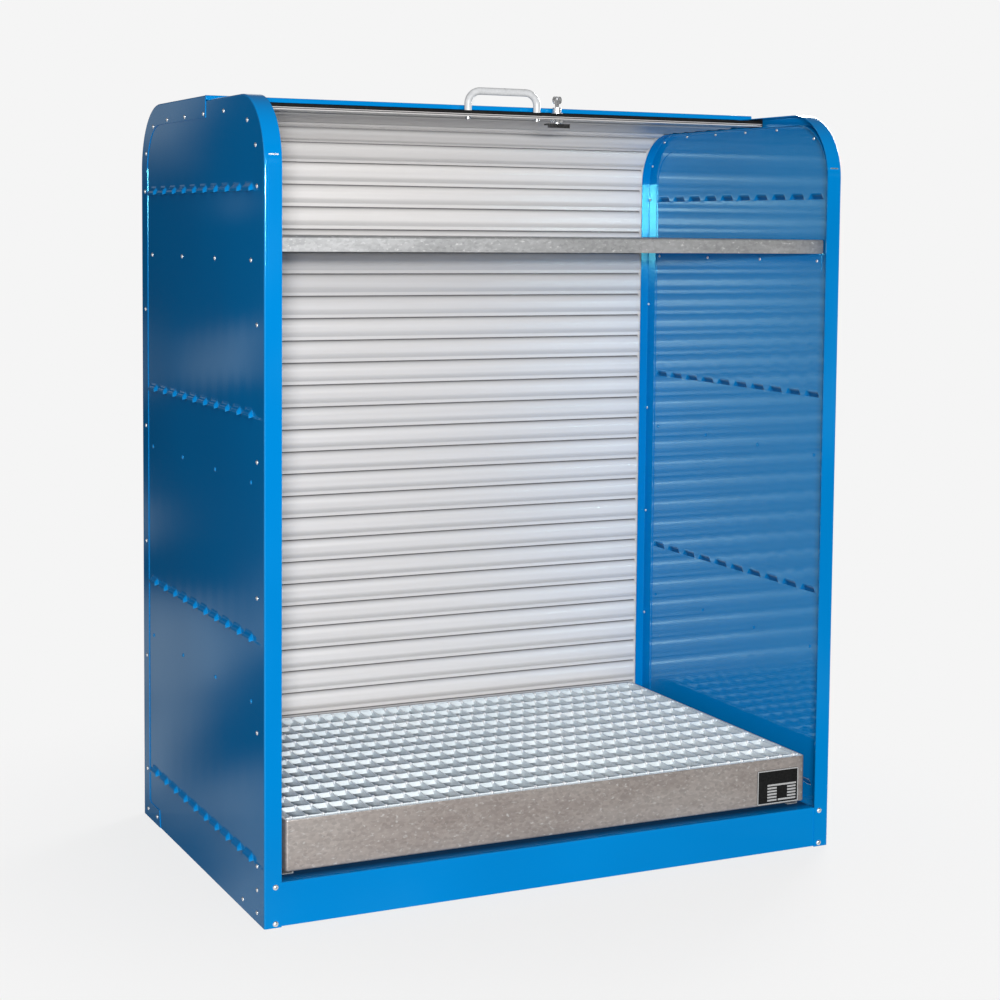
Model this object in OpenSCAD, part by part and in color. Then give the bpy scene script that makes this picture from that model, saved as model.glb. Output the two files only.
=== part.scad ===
// Hazardous materials cabinet with a roller shutter, shown open.
// Millimetres. X runs to the right, Y to the back, Z up. The origin is at the middle of the floor area.

/* [Cabinet shell] */
// Width over the two side panels
cabinet_w = 1300; // [1000:10:1600]
// Depth of the side panels
cabinet_d = 840; // [700:10:1000]
// Height of the side panels
panel_h = 1600; // [1400:10:1900]
// Radius of the rounded top corners
corner_r = 140; // [120:5:180]
// Thickness of the folded sheet steel
sheet = 1.5; // [1:0.1:2.5]

/* [Shutter track] */
// Width of the flange that faces the front
flange_w = 35; // [30:1:45]
// Clear width of the track between its two walls
track_gap = 18.5; // [17:0.5:24]
// Width of the inner lip of the track
lip_w = 22; // [16:1:26]
// Width of the track's leg that is riveted to the side panel
track_leg = 41; // [34:1:50]

/* [Roof and rear cover] */
// Rise of the roof over the side panels
roof_rise = 10; // [8:0.5:16]
// Width of the cover's lapped side flange
cover_lap = 45; // [40:1:60]
// Gap between the end bar and the roof's front edge
roof_gap = 2; // [1:0.5:6]
// Height of the roof's turned-down front edge
roof_lip_h = 13; // [9:0.5:14]
// Height of the foot at the bottom of the cover's side flange
cover_foot_h = 38; // [30:1:50]
// Length of that foot
cover_foot_l = 130; // [100:5:160]

/* [Louvres] */
// Rows of louvres in a side panel
louvre_rows = 4; // [1:1:4]
// Louvres in a row
louvre_count = 10; // [4:1:10]
// Height of the lowest row
louvre_z = 117; // [105:1:140]
// Distance of the highest row below the rounded corners
louvre_drop = 44; // [30:1:80]
// Distance of a row's first louvre from the panel's edge, to its middle
louvre_edge = 91.5; // [85:0.5:110]
// Length of a louvre at its mouth
louvre_l = 54; // [40:1:60]
// Height of a louvre
louvre_h = 14; // [12:1:18]
// How far a louvre stands out
louvre_out = 8; // [6:0.5:11]

/* [Base] */
// Height of the base rails
rail_h = 87; // [80:1:120]
// Depth of the front and rear rails' top flange
rail_flange = 88; // [70:1:110]
// Depth of the side rails' top flange
side_rail_flange = 88; // [80:1:110]
// Lower base bolt, height over the floor
bolt_low_z = 8; // [7:1:12]
// Upper base bolt, distance below the rail's top
bolt_drop = 7; // [6:1:20]
// Diameter of a base bolt
bolt_d = 6; // [5:0.5:8]
// Diameter of its head
bolt_head_d = 12; // [10:0.5:13]
// Height of its head
bolt_head_h = 3.5; // [3:0.5:5]

/* [Shelf] */
// Distance of the shelf rails' top below the side panels' top
shelf_drop = 302; // [220:1:500]
// Height of the shelf's lip
shelf_lip = 30; // [20:1:40]
// Distance of the shelf's front behind the posts
shelf_setback = 37; // [30:1:60]
// Distance of the shelf's back from the cabinet's back
shelf_back_gap = 45; // [40:1:80]
// Gap between the shelf's ends and the side panels
shelf_end_gap = 13.5; // [10:0.5:18]
// Height of the shelf rail's leg on the side panel
shelf_rail_leg = 40; // [34:1:50]
// Width of the shelf rail's seat
shelf_rail_seat = 36; // [30:1:50]
// Spare shelf levels below the shelf
spare_levels = 2; // [0:1:2]
// Distance between shelf levels
level_pitch = 427; // [400:1:440]

/* [Spill tray] */
// Gap between the tray's ends and the cabinet's sides
tray_side_gap = 50; // [40:1:90]
// Distance of the tray's back from the cabinet's back
tray_back_gap = 49; // [40:1:90]
// Height of the tray
tray_h = 96; // [80:1:140]
// Thickness of the tray's sheet
tray_t = 2; // [1.5:0.1:3]
// Distance of the tray's front behind the posts
tray_setback = 21; // [20.5:0.5:26]
// Height of the skids under the tray
skid_h = 17.7; // [12:0.1:30]
// Width of a skid
skid_w = 25; // [20:1:40]
// Height of the grating's bearing bars
grate_h = 30; // [20:1:40]
// Height of the grating's cross bars
cross_h = 10; // [6:1:14]
// Thickness of a grating bar
bar_t = 2; // [1.5:0.1:4]
// Distance between bearing bars
bearing_pitch = 33.3; // [30:0.1:50]
// Distance between cross bars
cross_pitch = 66.6; // [60:0.1:100]
// Width of the type plate on the tray
plate_w = 90; // [60:1:120]
// Height of the type plate
plate_h = 55; // [40:1:70]
// Distance of the type plate from the tray's right end
plate_inset = 15; // [8:1:60]

/* [Shutter curtain] */
// Pitch of the slats
slat_pitch = 52; // [46:1:56]
// Thickness of a slat in its middle
slat_t = 11; // [9:0.5:12]
// Thickness of a slat's tongue and of its ends in the track
tongue_t = 5; // [4:0.5:6]
// Length of the tongue
tongue_l = 12; // [10:0.5:14]
// Gap between neighbouring slats
knuckle_gap = 0.8; // [0.6:0.1:0.9]
// Slats between the end bar and the rear bend
top_count = 6; // [6:1:6]
// Slats in and just below the rear bend
bend_count = 6; // [6:1:6]
// Least gap between the hanging curtain and the base rails
curtain_foot = 10; // [5:1:40]

/* [End bar] */
// Depth of the end bar
bar_d = 58; // [50:1:66]
// Height of the end bar
bar_h = 13; // [11:0.5:14]
// Wall of the end bar
bar_wall = 2; // [1.5:0.1:3]
// Length of the web between the end bar and the first slat
bar_web = 26.7; // [20:0.1:35]
// Height of the seal in the end bar's front edge
seal_h = 5; // [4:0.5:6]
// How far the seal stands out
seal_out = 4; // [2:0.5:6]

/* [Handle] */
// Distance between the handle's legs
handle_w = 164; // [120:2:200]
// Diameter of the handle's tube
handle_d = 16; // [12:0.5:20]
// Height of the handle's top over the end bar
handle_h = 51; // [48:1:70]
// Bend radius of the handle's tube
handle_r = 28; // [20:1:35]
// Diameter of the handle's screws
screw_d = 6; // [5:0.5:8]

/* [Lock] */
// Distance of the lock from the handle's middle
lock_x = 131; // [115:1:200]
// Diameter of the lock's barrel
barrel_d = 19; // [17:0.5:22]
// Height of the barrel over the end bar
barrel_up = 14; // [10:1:20]
// Diameter of the lock's plug
plug_d = 12; // [10:0.5:13]
// Height of the key over the barrel
key_h = 24; // [18:1:30]
// Width of the key's bow
key_w = 22; // [18:1:26]
// Length of the cam
cam_l = 52; // [40:1:60]
// Width of the cam
cam_w = 22; // [20:1:26]
// Height of the cam's turned-down edge
cam_edge = 9; // [6:1:12]

/* [Fasteners] */
// Diameter of a rivet
rivet_d = 4; // [3:0.5:5]
// Diameter of a rivet's head
rivet_head_d = 9; // [7:0.5:10]
// Height of a rivet's head
rivet_head_h = 2; // [1:0.5:3]
// Distance of a post's highest rivet below the rounded corners
rivet_drop = 38; // [25:1:60]
// Height of the lowest rivet
rivet_z = 112; // [105:1:130]
// Rivets up a post
rivet_count = 6; // [3:1:6]
// Distance between rivets along the top
top_rivet_pitch = 130; // [110:1:140]
// Clearance of a fastener in its hole
hole_play = 0.3; // [0.2:0.1:0.5]
// Running clearance between moving pieces
play = 0.3; // [0.2:0.1:0.5]

/* [Hidden] */
$fn = 48;
// Sides of the large circles
fine = 240;
// Overcut that keeps a cut's faces from meeting a solid's faces
over = 1;
half_w = cabinet_w / 2;
half_d = cabinet_d / 2;
// Inner face of a side panel
panel_in = half_w - sheet;
// Inset of the track's inner lip from the outline
lip_inset = sheet + track_gap;
leg_inset = lip_inset + track_leg;
// Height where the rounded corners start
bend_z = panel_h - corner_r;
bend_y = half_d - corner_r;
flange_in = half_w - flange_w;
track_foot_z = rail_h + sheet;
louvre_pitch = (cabinet_d - 2 * louvre_edge) / (louvre_count - 1);
louvre_row_pitch = (bend_z - louvre_drop - louvre_z) / max(louvre_rows - 1, 1);

// Curtain: its middle runs half way between the track's walls
mid_inset = sheet + track_gap / 2;
mid_y = half_d - mid_inset;
mid_z = panel_h - mid_inset;
mid_r = corner_r - mid_inset;
// Turn from slat to slat on the bend
slat_turn = 2 * asin(slat_pitch / (2 * mid_r));
bend_knuckles = floor(90 / slat_turn);
blade_end = panel_in - lip_w / 5;
slat_tail = slat_pitch - tongue_t / 2 - knuckle_gap;
slat_body_l = slat_tail - tongue_l;
// Thickness lost at the slat's edges, and the radius of its crowned faces
slat_crown = 1.5;
crown_r = (pow(slat_body_l / 2, 2) + pow(slat_crown, 2)) / (2 * slat_crown);

// Point where the curtain's last bent knuckle lies, then the first one on the straight back
last_bent = bend_knuckles * slat_turn;
last_bent_y = bend_y + mid_r * sin(last_bent);
last_bent_z = bend_z + mid_r * cos(last_bent);
first_straight_z = last_bent_z - sqrt(pow(slat_pitch, 2) - pow(mid_y - last_bent_y, 2));

// Knuckle k of the curtain, counted from the start of the rear bend
function knuckle(k) =
    k <= 0 ? [bend_y + k * slat_pitch, mid_z]
    : k <= bend_knuckles ? [bend_y + mid_r * sin(k * slat_turn), bend_z + mid_r * cos(k * slat_turn)]
    : [mid_y, first_straight_z - (k - bend_knuckles - 1) * slat_pitch];

// Slats that hang behind the inside, as many as the height takes
rear_count = floor((knuckle(bend_count)[1] - rail_h - curtain_foot) / slat_pitch);

// End bar, from its seal to the first slat
bar_back = knuckle(-top_count)[0] - tongue_t / 2 - knuckle_gap;
bar_rear = bar_back - bar_web;
bar_front = bar_rear - bar_d;
bar_y = bar_rear - bar_d / 2;
bar_top = mid_z + bar_h / 2;
bar_under = mid_z - bar_h / 2;
glide_l = 6;
bar_end = panel_in - glide_l - 2;
seal_depth = 8;
seal_root = bar_front + seal_depth;
screw_head_d = 12;
screw_head_h = 4;
screw_grip = 14;
handle_top = bar_top + handle_h;
handle_mid = handle_top - handle_d / 2;

// Lock, from the barrel's top down to the cam's screw
barrel_top = bar_top + barrel_up;
nut_h = 6;
nut_af = 27;
rosette_d = 26;
rosette_h = 2.5;
barrel_foot = bar_under - nut_h - 2;
cam_t = 3;
cam_top = barrel_foot - play;
cam_foot = cam_top - cam_t;
key_t = 2.5;
cam_screw_d = 4;
cam_screw_grip = 8;

// Base, tray and grating
skid_z = rail_h + play;
tray_z = skid_z + skid_h;
tray_w = cabinet_w - 2 * tray_side_gap;
tray_front = -half_d + tray_setback;
tray_back = half_d - tray_back_gap;
tray_d = tray_back - tray_front;
tray_mid_y = tray_front + tray_d / 2;
tray_top = tray_z + tray_h;
grate_gap = 1.5;
grate_w = tray_w - 2 * tray_t - 2 * grate_gap;
grate_d = tray_d - 2 * tray_t - 2 * grate_gap;
grate_z = tray_top - grate_h;
frame_t = 3;
bearing_count = floor((grate_w - 2 * frame_t) / bearing_pitch);
cross_count = floor((grate_d - 2 * frame_t) / cross_pitch);
support_count = 3;
support_w = 60;
support_end_gap = 5;
plate_t = 0.8;

// Shelf
shelf_z = panel_h - shelf_drop;
shelf_front = -half_d + shelf_setback;
shelf_back = half_d - shelf_back_gap;
shelf_half_w = half_w - sheet - shelf_end_gap;
shelf_foot = shelf_z + play;
shelf_top = shelf_foot + shelf_lip;
shelf_rail_half = half_d - leg_inset - 3;
shelf_rivet_z = shelf_z - shelf_rail_leg * 0.4;
shelf_rivet_count = 4;
shelf_rivet_first = -shelf_rail_half + 15;
shelf_rivet_pitch = 2 * (shelf_rail_half - 15) / (shelf_rivet_count - 1);

// Roof and rear cover
roof_reach = -bar_rear - roof_gap;
cover_top = panel_h + roof_rise;
cover_back = half_d + sheet;
cover_r = corner_r + sheet;

// Rivet lines, as insets from the panel's outline
front_line = 43;
rear_line = lip_inset + sheet + rivet_head_d / 2 + 1;
corner_angles = [24, 66];
rivet_pitch = (bend_z - rivet_drop - rivet_z) / (rivet_count - 1);
post_levels = [for (k = [0:rivet_count - 1]) rivet_z + k * rivet_pitch];
front_column = [for (z = post_levels) [-half_d + front_line, z]];
front_corner = [for (a = corner_angles)
    [-bend_y - (corner_r - front_line) * cos(a), bend_z + (corner_r - front_line) * sin(a)]];
rear_column = [for (z = post_levels) [half_d - rear_line, z]];
rear_corner = [for (a = corner_angles)
    [bend_y + (corner_r - rear_line) * cos(a), bend_z + (corner_r - rear_line) * sin(a)]];
// Top rivets in front of the roof, then those under its flange
top_first = -roof_reach - rivet_head_d - top_rivet_pitch * 0.8;
top_front = [[top_first, panel_h - rear_line]];
top_rear = [for (k = [1:3]) [top_first + k * top_rivet_pitch, panel_h - rear_line]];
base_low = 20;
base_high = 65;
base_front = [
    [-half_d + front_line, base_low],
    [-half_d + front_line, base_high],
    [-half_d + cover_foot_l, base_low]
];
base_rear = [
    [half_d - front_line + 10, base_low],
    [half_d - cover_foot_l + 25, base_low]
];
shelf_rivets = [for (k = [0:shelf_rivet_count - 1])
    [shelf_rivet_first + k * shelf_rivet_pitch, shelf_rivet_z]];
spare_holes = [for (n = [1:1:spare_levels], r = shelf_rivets) [r[0], r[1] - n * level_pitch]];
panel_rivet_places = concat(front_column, front_corner, top_front, base_front);
cover_rivet_places = concat(rear_column, rear_corner, top_rear, base_rear);
// Back rivets stand between the side rivets, below the bend
back_levels = [for (k = [0:rivet_count - 2]) post_levels[k] + rivet_pitch / 4];

paint = "#0a72c4";
paint_dark = "#0a5a9c";
zinc = "#b4b8ba";
galvanised = "#9ea3a6";
aluminium = "#d8d9da";
black = "#222426";

// Extrudes a side view, drawn with Y across and Z up, from x0 to x1
module along_x(x0, x1) {
    translate([x0, 0, 0]) rotate([90, 0, 90]) linear_extrude(x1 - x0) children();
}

// A block between two opposite corners
module block(a, b) {
    translate(a) cube(b - a);
}

// Right-hand pieces are drawn, and left-hand ones are their mirror image
module left_hand() {
    mirror([1, 0, 0]) children();
}

// Side view with two rounded top corners
module rounded_side(half, top, r, foot) {
    translate([-half, foot]) square([2 * half, top - r - foot]);
    translate([r - half, foot]) square([2 * (half - r), top - foot]);
    for (s = [-1, 1]) translate([s * (half - r), top - r]) circle(r, $fn = fine);
}

// The side panel's outline, drawn in by an inset
module outline(inset, foot = 0) {
    rounded_side(half_d - inset, panel_h - inset, corner_r - inset, foot);
}

// A strip that follows the outline between two insets, above the bends' start
module top_band(inset_out, inset_in) {
    intersection() {
        difference() {
            outline(inset_out);
            outline(inset_in, -over);
        }
        translate([-half_d - over, bend_z]) square([cabinet_d + 2 * over, corner_r + over]);
    }
}

// Holes along X at side-view places
module x_holes(places, x0, x1, d) {
    for (p = places) translate([x0, p[0], p[1]]) rotate([0, 90, 0]) cylinder(h = x1 - x0, d = d);
}

module rivet_holes(places) {
    x_holes(places, panel_in - 3 * sheet, half_w + 3 * sheet, rivet_d + hole_play);
}

// A blind rivet on the right-hand side: head at x_head, tail at x_tail
module rivet(p, x_tail, x_head) {
    tail_d = rivet_d + 3;
    tail_h = 3;
    translate([x_head, p[0], p[1]]) rotate([0, 90, 0])
        cylinder(h = rivet_head_h, d1 = rivet_head_d, d2 = rivet_head_d * 0.55);
    translate([x_tail, p[0], p[1]]) rotate([0, 90, 0]) cylinder(h = x_head - x_tail, d = rivet_d);
    translate([x_tail - tail_h, p[0], p[1]]) rotate([0, 90, 0]) cylinder(h = tail_h, d = tail_d);
}

module rivets(places, x_tail, x_head) {
    for (p = places) rivet(p, x_tail, x_head);
}

// Louvres: a slanted hood with leaning ends, open at its lower edge
module louvre_place() {
    first = -(louvre_count - 1) / 2 * louvre_pitch;
    for (row = [0:louvre_rows - 1], k = [0:louvre_count - 1])
        translate([half_w, first + k * louvre_pitch, louvre_z + row * louvre_row_pitch]) children();
}

module louvre_block(len, top, out, back, foot) {
    lean = 5;
    intersection() {
        translate([0, len / 2, 0]) rotate([90, 0, 0]) linear_extrude(len)
            polygon([[-back, top], [0, top], [out, top * 0.25], [out, foot], [-back, foot]]);
        along_x(-back, out)
            polygon([[-len / 2, foot], [len / 2, foot], [len / 2 - lean, top], [lean - len / 2, top]]);
    }
}

module side_panel() {
    difference() {
        union() {
            along_x(panel_in, half_w) outline(0);
            louvre_place() louvre_block(louvre_l, louvre_h, louvre_out, sheet / 2, 0);
        }
        louvre_place() louvre_block(louvre_l - 2 * sheet, louvre_h - sheet, louvre_out - sheet,
                                    2 * sheet, -over);
        rivet_holes(concat(panel_rivet_places, cover_rivet_places, shelf_rivets, spare_holes));
    }
}

// Front post: the flange that faces the front, and its leg on the side panel
module post() {
    block([flange_in, -half_d, 0], [panel_in, -half_d + sheet, bend_z]);
    block([panel_in - sheet, -half_d + sheet, 0], [panel_in, -half_d + lip_inset - sheet, bend_z]);
}

module bolt_places() {
    for (z = [bolt_low_z, rail_h - bolt_drop])
        translate([half_w - flange_w * 0.65, -half_d, z]) rotate([-90, 0, 0]) children();
}

module bolt_holes() {
    bolt_places() translate([0, 0, -over]) cylinder(h = 4 * sheet, d = bolt_d + hole_play);
}

module front_post() {
    difference() {
        post();
        bolt_holes();
    }
}

module back_rivet_places() {
    for (z = back_levels) translate([half_w - flange_w / 2, cover_back, z]) rotate([-90, 0, 0]) children();
}

module back_rivet_holes() {
    back_rivet_places() translate([0, 0, -3 * sheet]) cylinder(h = 6 * sheet, d = rivet_d + hole_play);
}

module rear_post() {
    difference() {
        mirror([0, 1, 0]) post();
        back_rivet_holes();
    }
}

module top_edge() {
    along_x(flange_in, panel_in) top_band(0, sheet);
}

// Inner track: a lip that guides the slats, and a leg that is riveted to the side panel
module straight_track() {
    y0 = -half_d + lip_inset;
    block([panel_in - lip_w, y0, track_foot_z], [panel_in, y0 + sheet, bend_z]);
    block([panel_in - sheet, y0, track_foot_z], [panel_in, y0 + track_leg, bend_z]);
}

module front_track() {
    difference() {
        straight_track();
        rivet_holes(front_column);
    }
}

module rear_track() {
    difference() {
        mirror([0, 1, 0]) straight_track();
        rivet_holes(rear_column);
    }
}

module top_track() {
    difference() {
        union() {
            along_x(panel_in - lip_w, panel_in) top_band(lip_inset, lip_inset + sheet);
            along_x(panel_in - sheet, panel_in) top_band(lip_inset, leg_inset);
        }
        rivet_holes(concat(front_corner, rear_corner, top_front, top_rear));
    }
}

// Rear cover: roof, rear bend and back wall in one sheet, lapped over the side panels
module cover_side(inset, foot) {
    intersection() {
        rounded_side(cover_back - inset, cover_top - inset, cover_r - inset, foot);
        translate([-roof_reach, foot]) square([cover_back + roof_reach, cover_top - foot]);
    }
}

module cover_lap() {
    reach = cover_back - cover_foot_l;
    lap_y = cover_back - cover_lap;
    difference() {
        cover_side(0, 0);
        translate([-roof_reach - over, 0]) cover_cut(cover_lap);
    }
    polygon([[reach, 0], [cover_back, 0], [cover_back, 2 * cover_foot_h], [lap_y, 2 * cover_foot_h],
             [lap_y, cover_foot_h + 6], [lap_y - 10, cover_foot_h], [reach + 8, cover_foot_h]]);
}

// What lies inside the cover's sheet, open to the front
module cover_cut(inset) {
    r = cover_r - inset;
    y1 = cover_back - inset + roof_reach + over;
    z1 = cover_top - inset;
    translate([0, -over]) square([y1, z1 - r + over]);
    translate([0, -over]) square([y1 - r, z1 + over]);
    translate([y1 - r, z1 - r]) circle(r, $fn = fine);
}

module rear_cover() {
    lap_out = half_w + sheet;
    color(paint_dark) difference() {
        union() {
            along_x(-lap_out, lap_out) difference() {
                cover_side(0, 0);
                translate([-roof_reach - over, 0]) cover_cut(sheet);
            }
            for (s = [0, 1]) mirror([s, 0, 0]) along_x(half_w, lap_out) cover_lap();
            block([-flange_in + 2, -roof_reach, cover_top - roof_lip_h],
                  [flange_in - 2, -roof_reach + sheet, cover_top]);
        }
        for (s = [0, 1]) mirror([s, 0, 0]) {
            rivet_holes(cover_rivet_places);
            back_rivet_holes();
        }
    }
}

// Base rails: a face between the posts, and a top flange that carries the tray
module end_rail() {
    block([-panel_in + 2 * sheet, -half_d + sheet, sheet],
          [panel_in - 2 * sheet, -half_d + 2 * sheet, rail_h]);
    block([-flange_in, -half_d + sheet, rail_h - sheet], [flange_in, -half_d + sheet + rail_flange, rail_h]);
}

module base_front_rail() {
    color(paint) difference() {
        end_rail();
        bolt_holes();
        left_hand() bolt_holes();
    }
}

module base_rear_rail() {
    color(paint_dark) mirror([0, 1, 0]) end_rail();
}

module base_side_rail() {
    end_y = half_d - lip_inset;
    flange_y = half_d - sheet - rail_flange - 2;
    difference() {
        union() {
            block([panel_in - sheet, -end_y, sheet], [panel_in, end_y, rail_h]);
            block([panel_in - side_rail_flange, -flange_y, rail_h - sheet], [panel_in, flange_y, rail_h]);
        }
        rivet_holes(concat(base_front, base_rear));
    }
}

module base_bolts() {
    color(zinc) for (s = [0, 1]) mirror([s, 0, 0]) bolt_places() {
        nut_h = 5;
        translate([0, 0, -bolt_head_h])
            cylinder(h = bolt_head_h, d1 = bolt_head_d * 0.6, d2 = bolt_head_d);
        cylinder(h = 2 * sheet + nut_h, d = bolt_d);
        translate([0, 0, 2 * sheet]) cylinder(h = nut_h, d = bolt_head_d, $fn = 6);
    }
}

// Shelf and its rails
module shelf_rail() {
    difference() {
        union() {
            block([panel_in - sheet, -shelf_rail_half, shelf_z - shelf_rail_leg],
                  [panel_in, shelf_rail_half, shelf_z]);
            block([panel_in - shelf_rail_seat, -shelf_rail_half, shelf_z - sheet],
                  [panel_in, shelf_rail_half, shelf_z]);
        }
        rivet_holes(shelf_rivets);
    }
}

module shelf() {
    color(galvanised) difference() {
        block([-shelf_half_w, shelf_front, shelf_foot], [shelf_half_w, shelf_back, shelf_top]);
        block([-shelf_half_w + sheet, shelf_front + sheet, shelf_foot - over],
              [shelf_half_w - sheet, shelf_back - sheet, shelf_top - sheet]);
    }
}

// Spill tray, welded from a floor, two long walls and two end walls
module tray_floor() {
    color(galvanised) block([-tray_w / 2, tray_front, tray_z], [tray_w / 2, tray_back, tray_z + tray_t]);
}

module tray_long_walls() {
    color(galvanised) for (y = [tray_front, tray_back - tray_t])
        block([-tray_w / 2, y, tray_z + tray_t], [tray_w / 2, y + tray_t, tray_top]);
}

module tray_end_walls() {
    color(galvanised) for (s = [0, 1]) mirror([s, 0, 0])
        block([tray_w / 2 - tray_t, tray_front + tray_t, tray_z + tray_t],
              [tray_w / 2, tray_back - tray_t, tray_top]);
}

// What stands under and in the tray: skids, supports, and the grating on them
module tray_skids() {
    color(galvanised) for (s = [-1, 1])
        translate([s * (tray_w - skid_w) / 2, tray_mid_y, skid_z]) difference() {
            translate([-skid_w / 2, -tray_d / 2 + skid_w, 0]) cube([skid_w, tray_d - 2 * skid_w, skid_h]);
            translate([-skid_w / 2 + sheet, -tray_d / 2, sheet])
                cube([skid_w - 2 * sheet, tray_d, skid_h - 2 * sheet]);
        }
}

module grating_supports() {
    len = tray_d - 2 * tray_t - 2 * support_end_gap;
    foot = tray_z + tray_t;
    span = (tray_w - 2 * tray_t - support_w - 2 * support_end_gap) / (support_count - 1);
    color(galvanised) for (k = [0:support_count - 1])
        translate([(k - (support_count - 1) / 2) * span, tray_mid_y, foot]) difference() {
            translate([-support_w / 2, -len / 2, 0]) cube([support_w, len, grate_z - play - foot]);
            translate([-support_w / 2 + tray_t, -len / 2 - over, -over])
                cube([support_w - 2 * tray_t, len + 2 * over, grate_z - play - foot - tray_t + over]);
        }
}

// Plan of the grating: a frame, bearing bars from front to back, and cross bars where wanted
module grating_plan(with_cross) {
    first_x = -bearing_count / 2 * bearing_pitch;
    first_y = -cross_count / 2 * cross_pitch;
    difference() {
        square([grate_w, grate_d], center = true);
        square([grate_w - 2 * frame_t, grate_d - 2 * frame_t], center = true);
    }
    for (k = [0:bearing_count])
        translate([first_x + k * bearing_pitch - bar_t / 2, -grate_d / 2]) square([bar_t, grate_d]);
    if (with_cross)
        for (k = [0:cross_count])
            translate([-grate_w / 2, first_y + k * cross_pitch - bar_t / 2]) square([grate_w, bar_t]);
}

module floor_grating() {
    color(galvanised) translate([0, tray_mid_y, grate_z]) {
        linear_extrude(grate_h - cross_h) grating_plan(false);
        translate([0, 0, grate_h - cross_h]) linear_extrude(cross_h) grating_plan(true);
    }
}

module type_plate() {
    x1 = tray_w / 2 - plate_inset;
    z0 = tray_z + (tray_h - plate_h) / 2 - 6;
    color(black) block([x1 - plate_w, tray_front - plate_t, z0], [x1, tray_front, z0 + plate_h]);
}

// Slat, seen from its end: a round nose and tongue, then a body with two crowned faces
module slat_blade() {
    circle(d = tongue_t);
    translate([0, -tongue_t / 2]) square([slat_tail, tongue_t]);
}

module slat_section() {
    middle = tongue_l + slat_body_l / 2;
    slat_blade();
    intersection() {
        translate([tongue_l, -slat_t / 2]) square([slat_body_l, slat_t]);
        translate([middle, slat_t / 2 - crown_r]) circle(crown_r, $fn = 2 * fine);
        translate([middle, crown_r - slat_t / 2]) circle(crown_r, $fn = 2 * fine);
    }
}

// Slat k of the curtain, from knuckle k to the next one
module slat(k) {
    a = knuckle(k);
    b = knuckle(k + 1);
    turn = atan2(b[1] - a[1], b[0] - a[0]);
    color(aluminium) {
        along_x(-flange_in, flange_in) translate(a) rotate(turn) slat_section();
        along_x(-blade_end, blade_end) translate(a) rotate(turn) slat_blade();
    }
}

module top_slats() {
    for (k = [-top_count:-1]) slat(k);
}

module rear_slats() {
    for (k = [bend_count:bend_count + rear_count - 1]) slat(k);
}

// End bar: a hollow rail with a slot for the seal in its front edge and a web to the first slat
module end_bar() {
    core = [bar_front + seal_depth + bar_wall, bar_rear - bar_wall];
    color(aluminium) difference() {
        union() {
            block([-bar_end, bar_front, bar_under], [bar_end, bar_rear, bar_top]);
            block([-bar_end, bar_rear - over, mid_z - tongue_t / 2],
                  [bar_end, bar_back, mid_z + tongue_t / 2]);
        }
        block([-bar_end - over, core[0], bar_under + bar_wall],
              [bar_end + over, core[1], bar_top - bar_wall]);
        block([-bar_end - over, bar_front - over, mid_z - seal_h / 2 - hole_play],
              [bar_end + over, seal_root, mid_z + seal_h / 2 + hole_play]);
        for (s = [-1, 1]) translate([s * handle_w / 2, bar_y, bar_under - over])
            cylinder(h = bar_h + 2 * over, d = screw_d + hole_play);
        translate([lock_x, bar_y, bar_under - over])
            cylinder(h = bar_h + 2 * over, d = barrel_d + hole_play);
    }
}

module bar_seal() {
    color(black) block([-bar_end, bar_front - seal_out, mid_z - seal_h / 2],
                       [bar_end, seal_root, mid_z + seal_h / 2]);
}

// Glides on the bar's ends, which run between the track's walls
module bar_glides() {
    low = panel_h - lip_inset + play;
    high = panel_h - sheet - play;
    edge = 6;
    color(black) for (s = [0, 1]) mirror([s, 0, 0])
        block([bar_end, bar_front + edge, low], [bar_end + glide_l, bar_rear - edge, high]);
}

module handle() {
    leg_h = handle_mid - handle_r - bar_top;
    color("#d4d6d8") difference() {
        for (s = [0, 1]) mirror([s, 0, 0]) {
            translate([handle_w / 2, bar_y, bar_top]) cylinder(h = leg_h, d = handle_d);
            translate([handle_w / 2 - handle_r, bar_y, bar_top + leg_h]) rotate([90, 0, 0])
                rotate_extrude(angle = 90) translate([handle_r, 0]) circle(d = handle_d);
            translate([0, bar_y, handle_mid]) rotate([0, 90, 0])
                cylinder(h = handle_w / 2 - handle_r, d = handle_d);
        }
        for (s = [-1, 1]) translate([s * handle_w / 2, bar_y, bar_top - over])
            cylinder(h = screw_grip + 2 * over, d = screw_d + hole_play);
    }
}

module handle_screws() {
    color(zinc) for (s = [-1, 1]) translate([s * handle_w / 2, bar_y, bar_under]) {
        translate([0, 0, -screw_head_h]) cylinder(h = screw_head_h, d = screw_head_d);
        cylinder(h = bar_h + screw_grip, d = screw_d);
    }
}

// Cam lock through the end bar
module lock_barrel() {
    color(zinc) translate([lock_x, bar_y, 0]) difference() {
        union() {
            translate([0, 0, barrel_foot]) cylinder(h = barrel_top - barrel_foot, d = barrel_d);
            translate([0, 0, bar_top]) cylinder(h = rosette_h, d = rosette_d);
        }
        translate([0, 0, barrel_foot - over])
            cylinder(h = barrel_top - barrel_foot + 2 * over, d = plug_d + 2 * play);
    }
}

module lock_nut() {
    across_corners = nut_af / cos(30);
    color(zinc) translate([lock_x, bar_y, bar_under - nut_h]) difference() {
        cylinder(h = nut_h, d = across_corners, $fn = 6);
        translate([0, 0, -over]) cylinder(h = nut_h + 2 * over, d = barrel_d + hole_play);
    }
}

module lock_plug() {
    color(aluminium) translate([lock_x, bar_y, cam_top]) difference() {
        cylinder(h = barrel_top - cam_top, d = plug_d);
        translate([0, 0, -over]) cylinder(h = cam_screw_grip + 2 * over, d = cam_screw_d + hole_play);
    }
}

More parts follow.
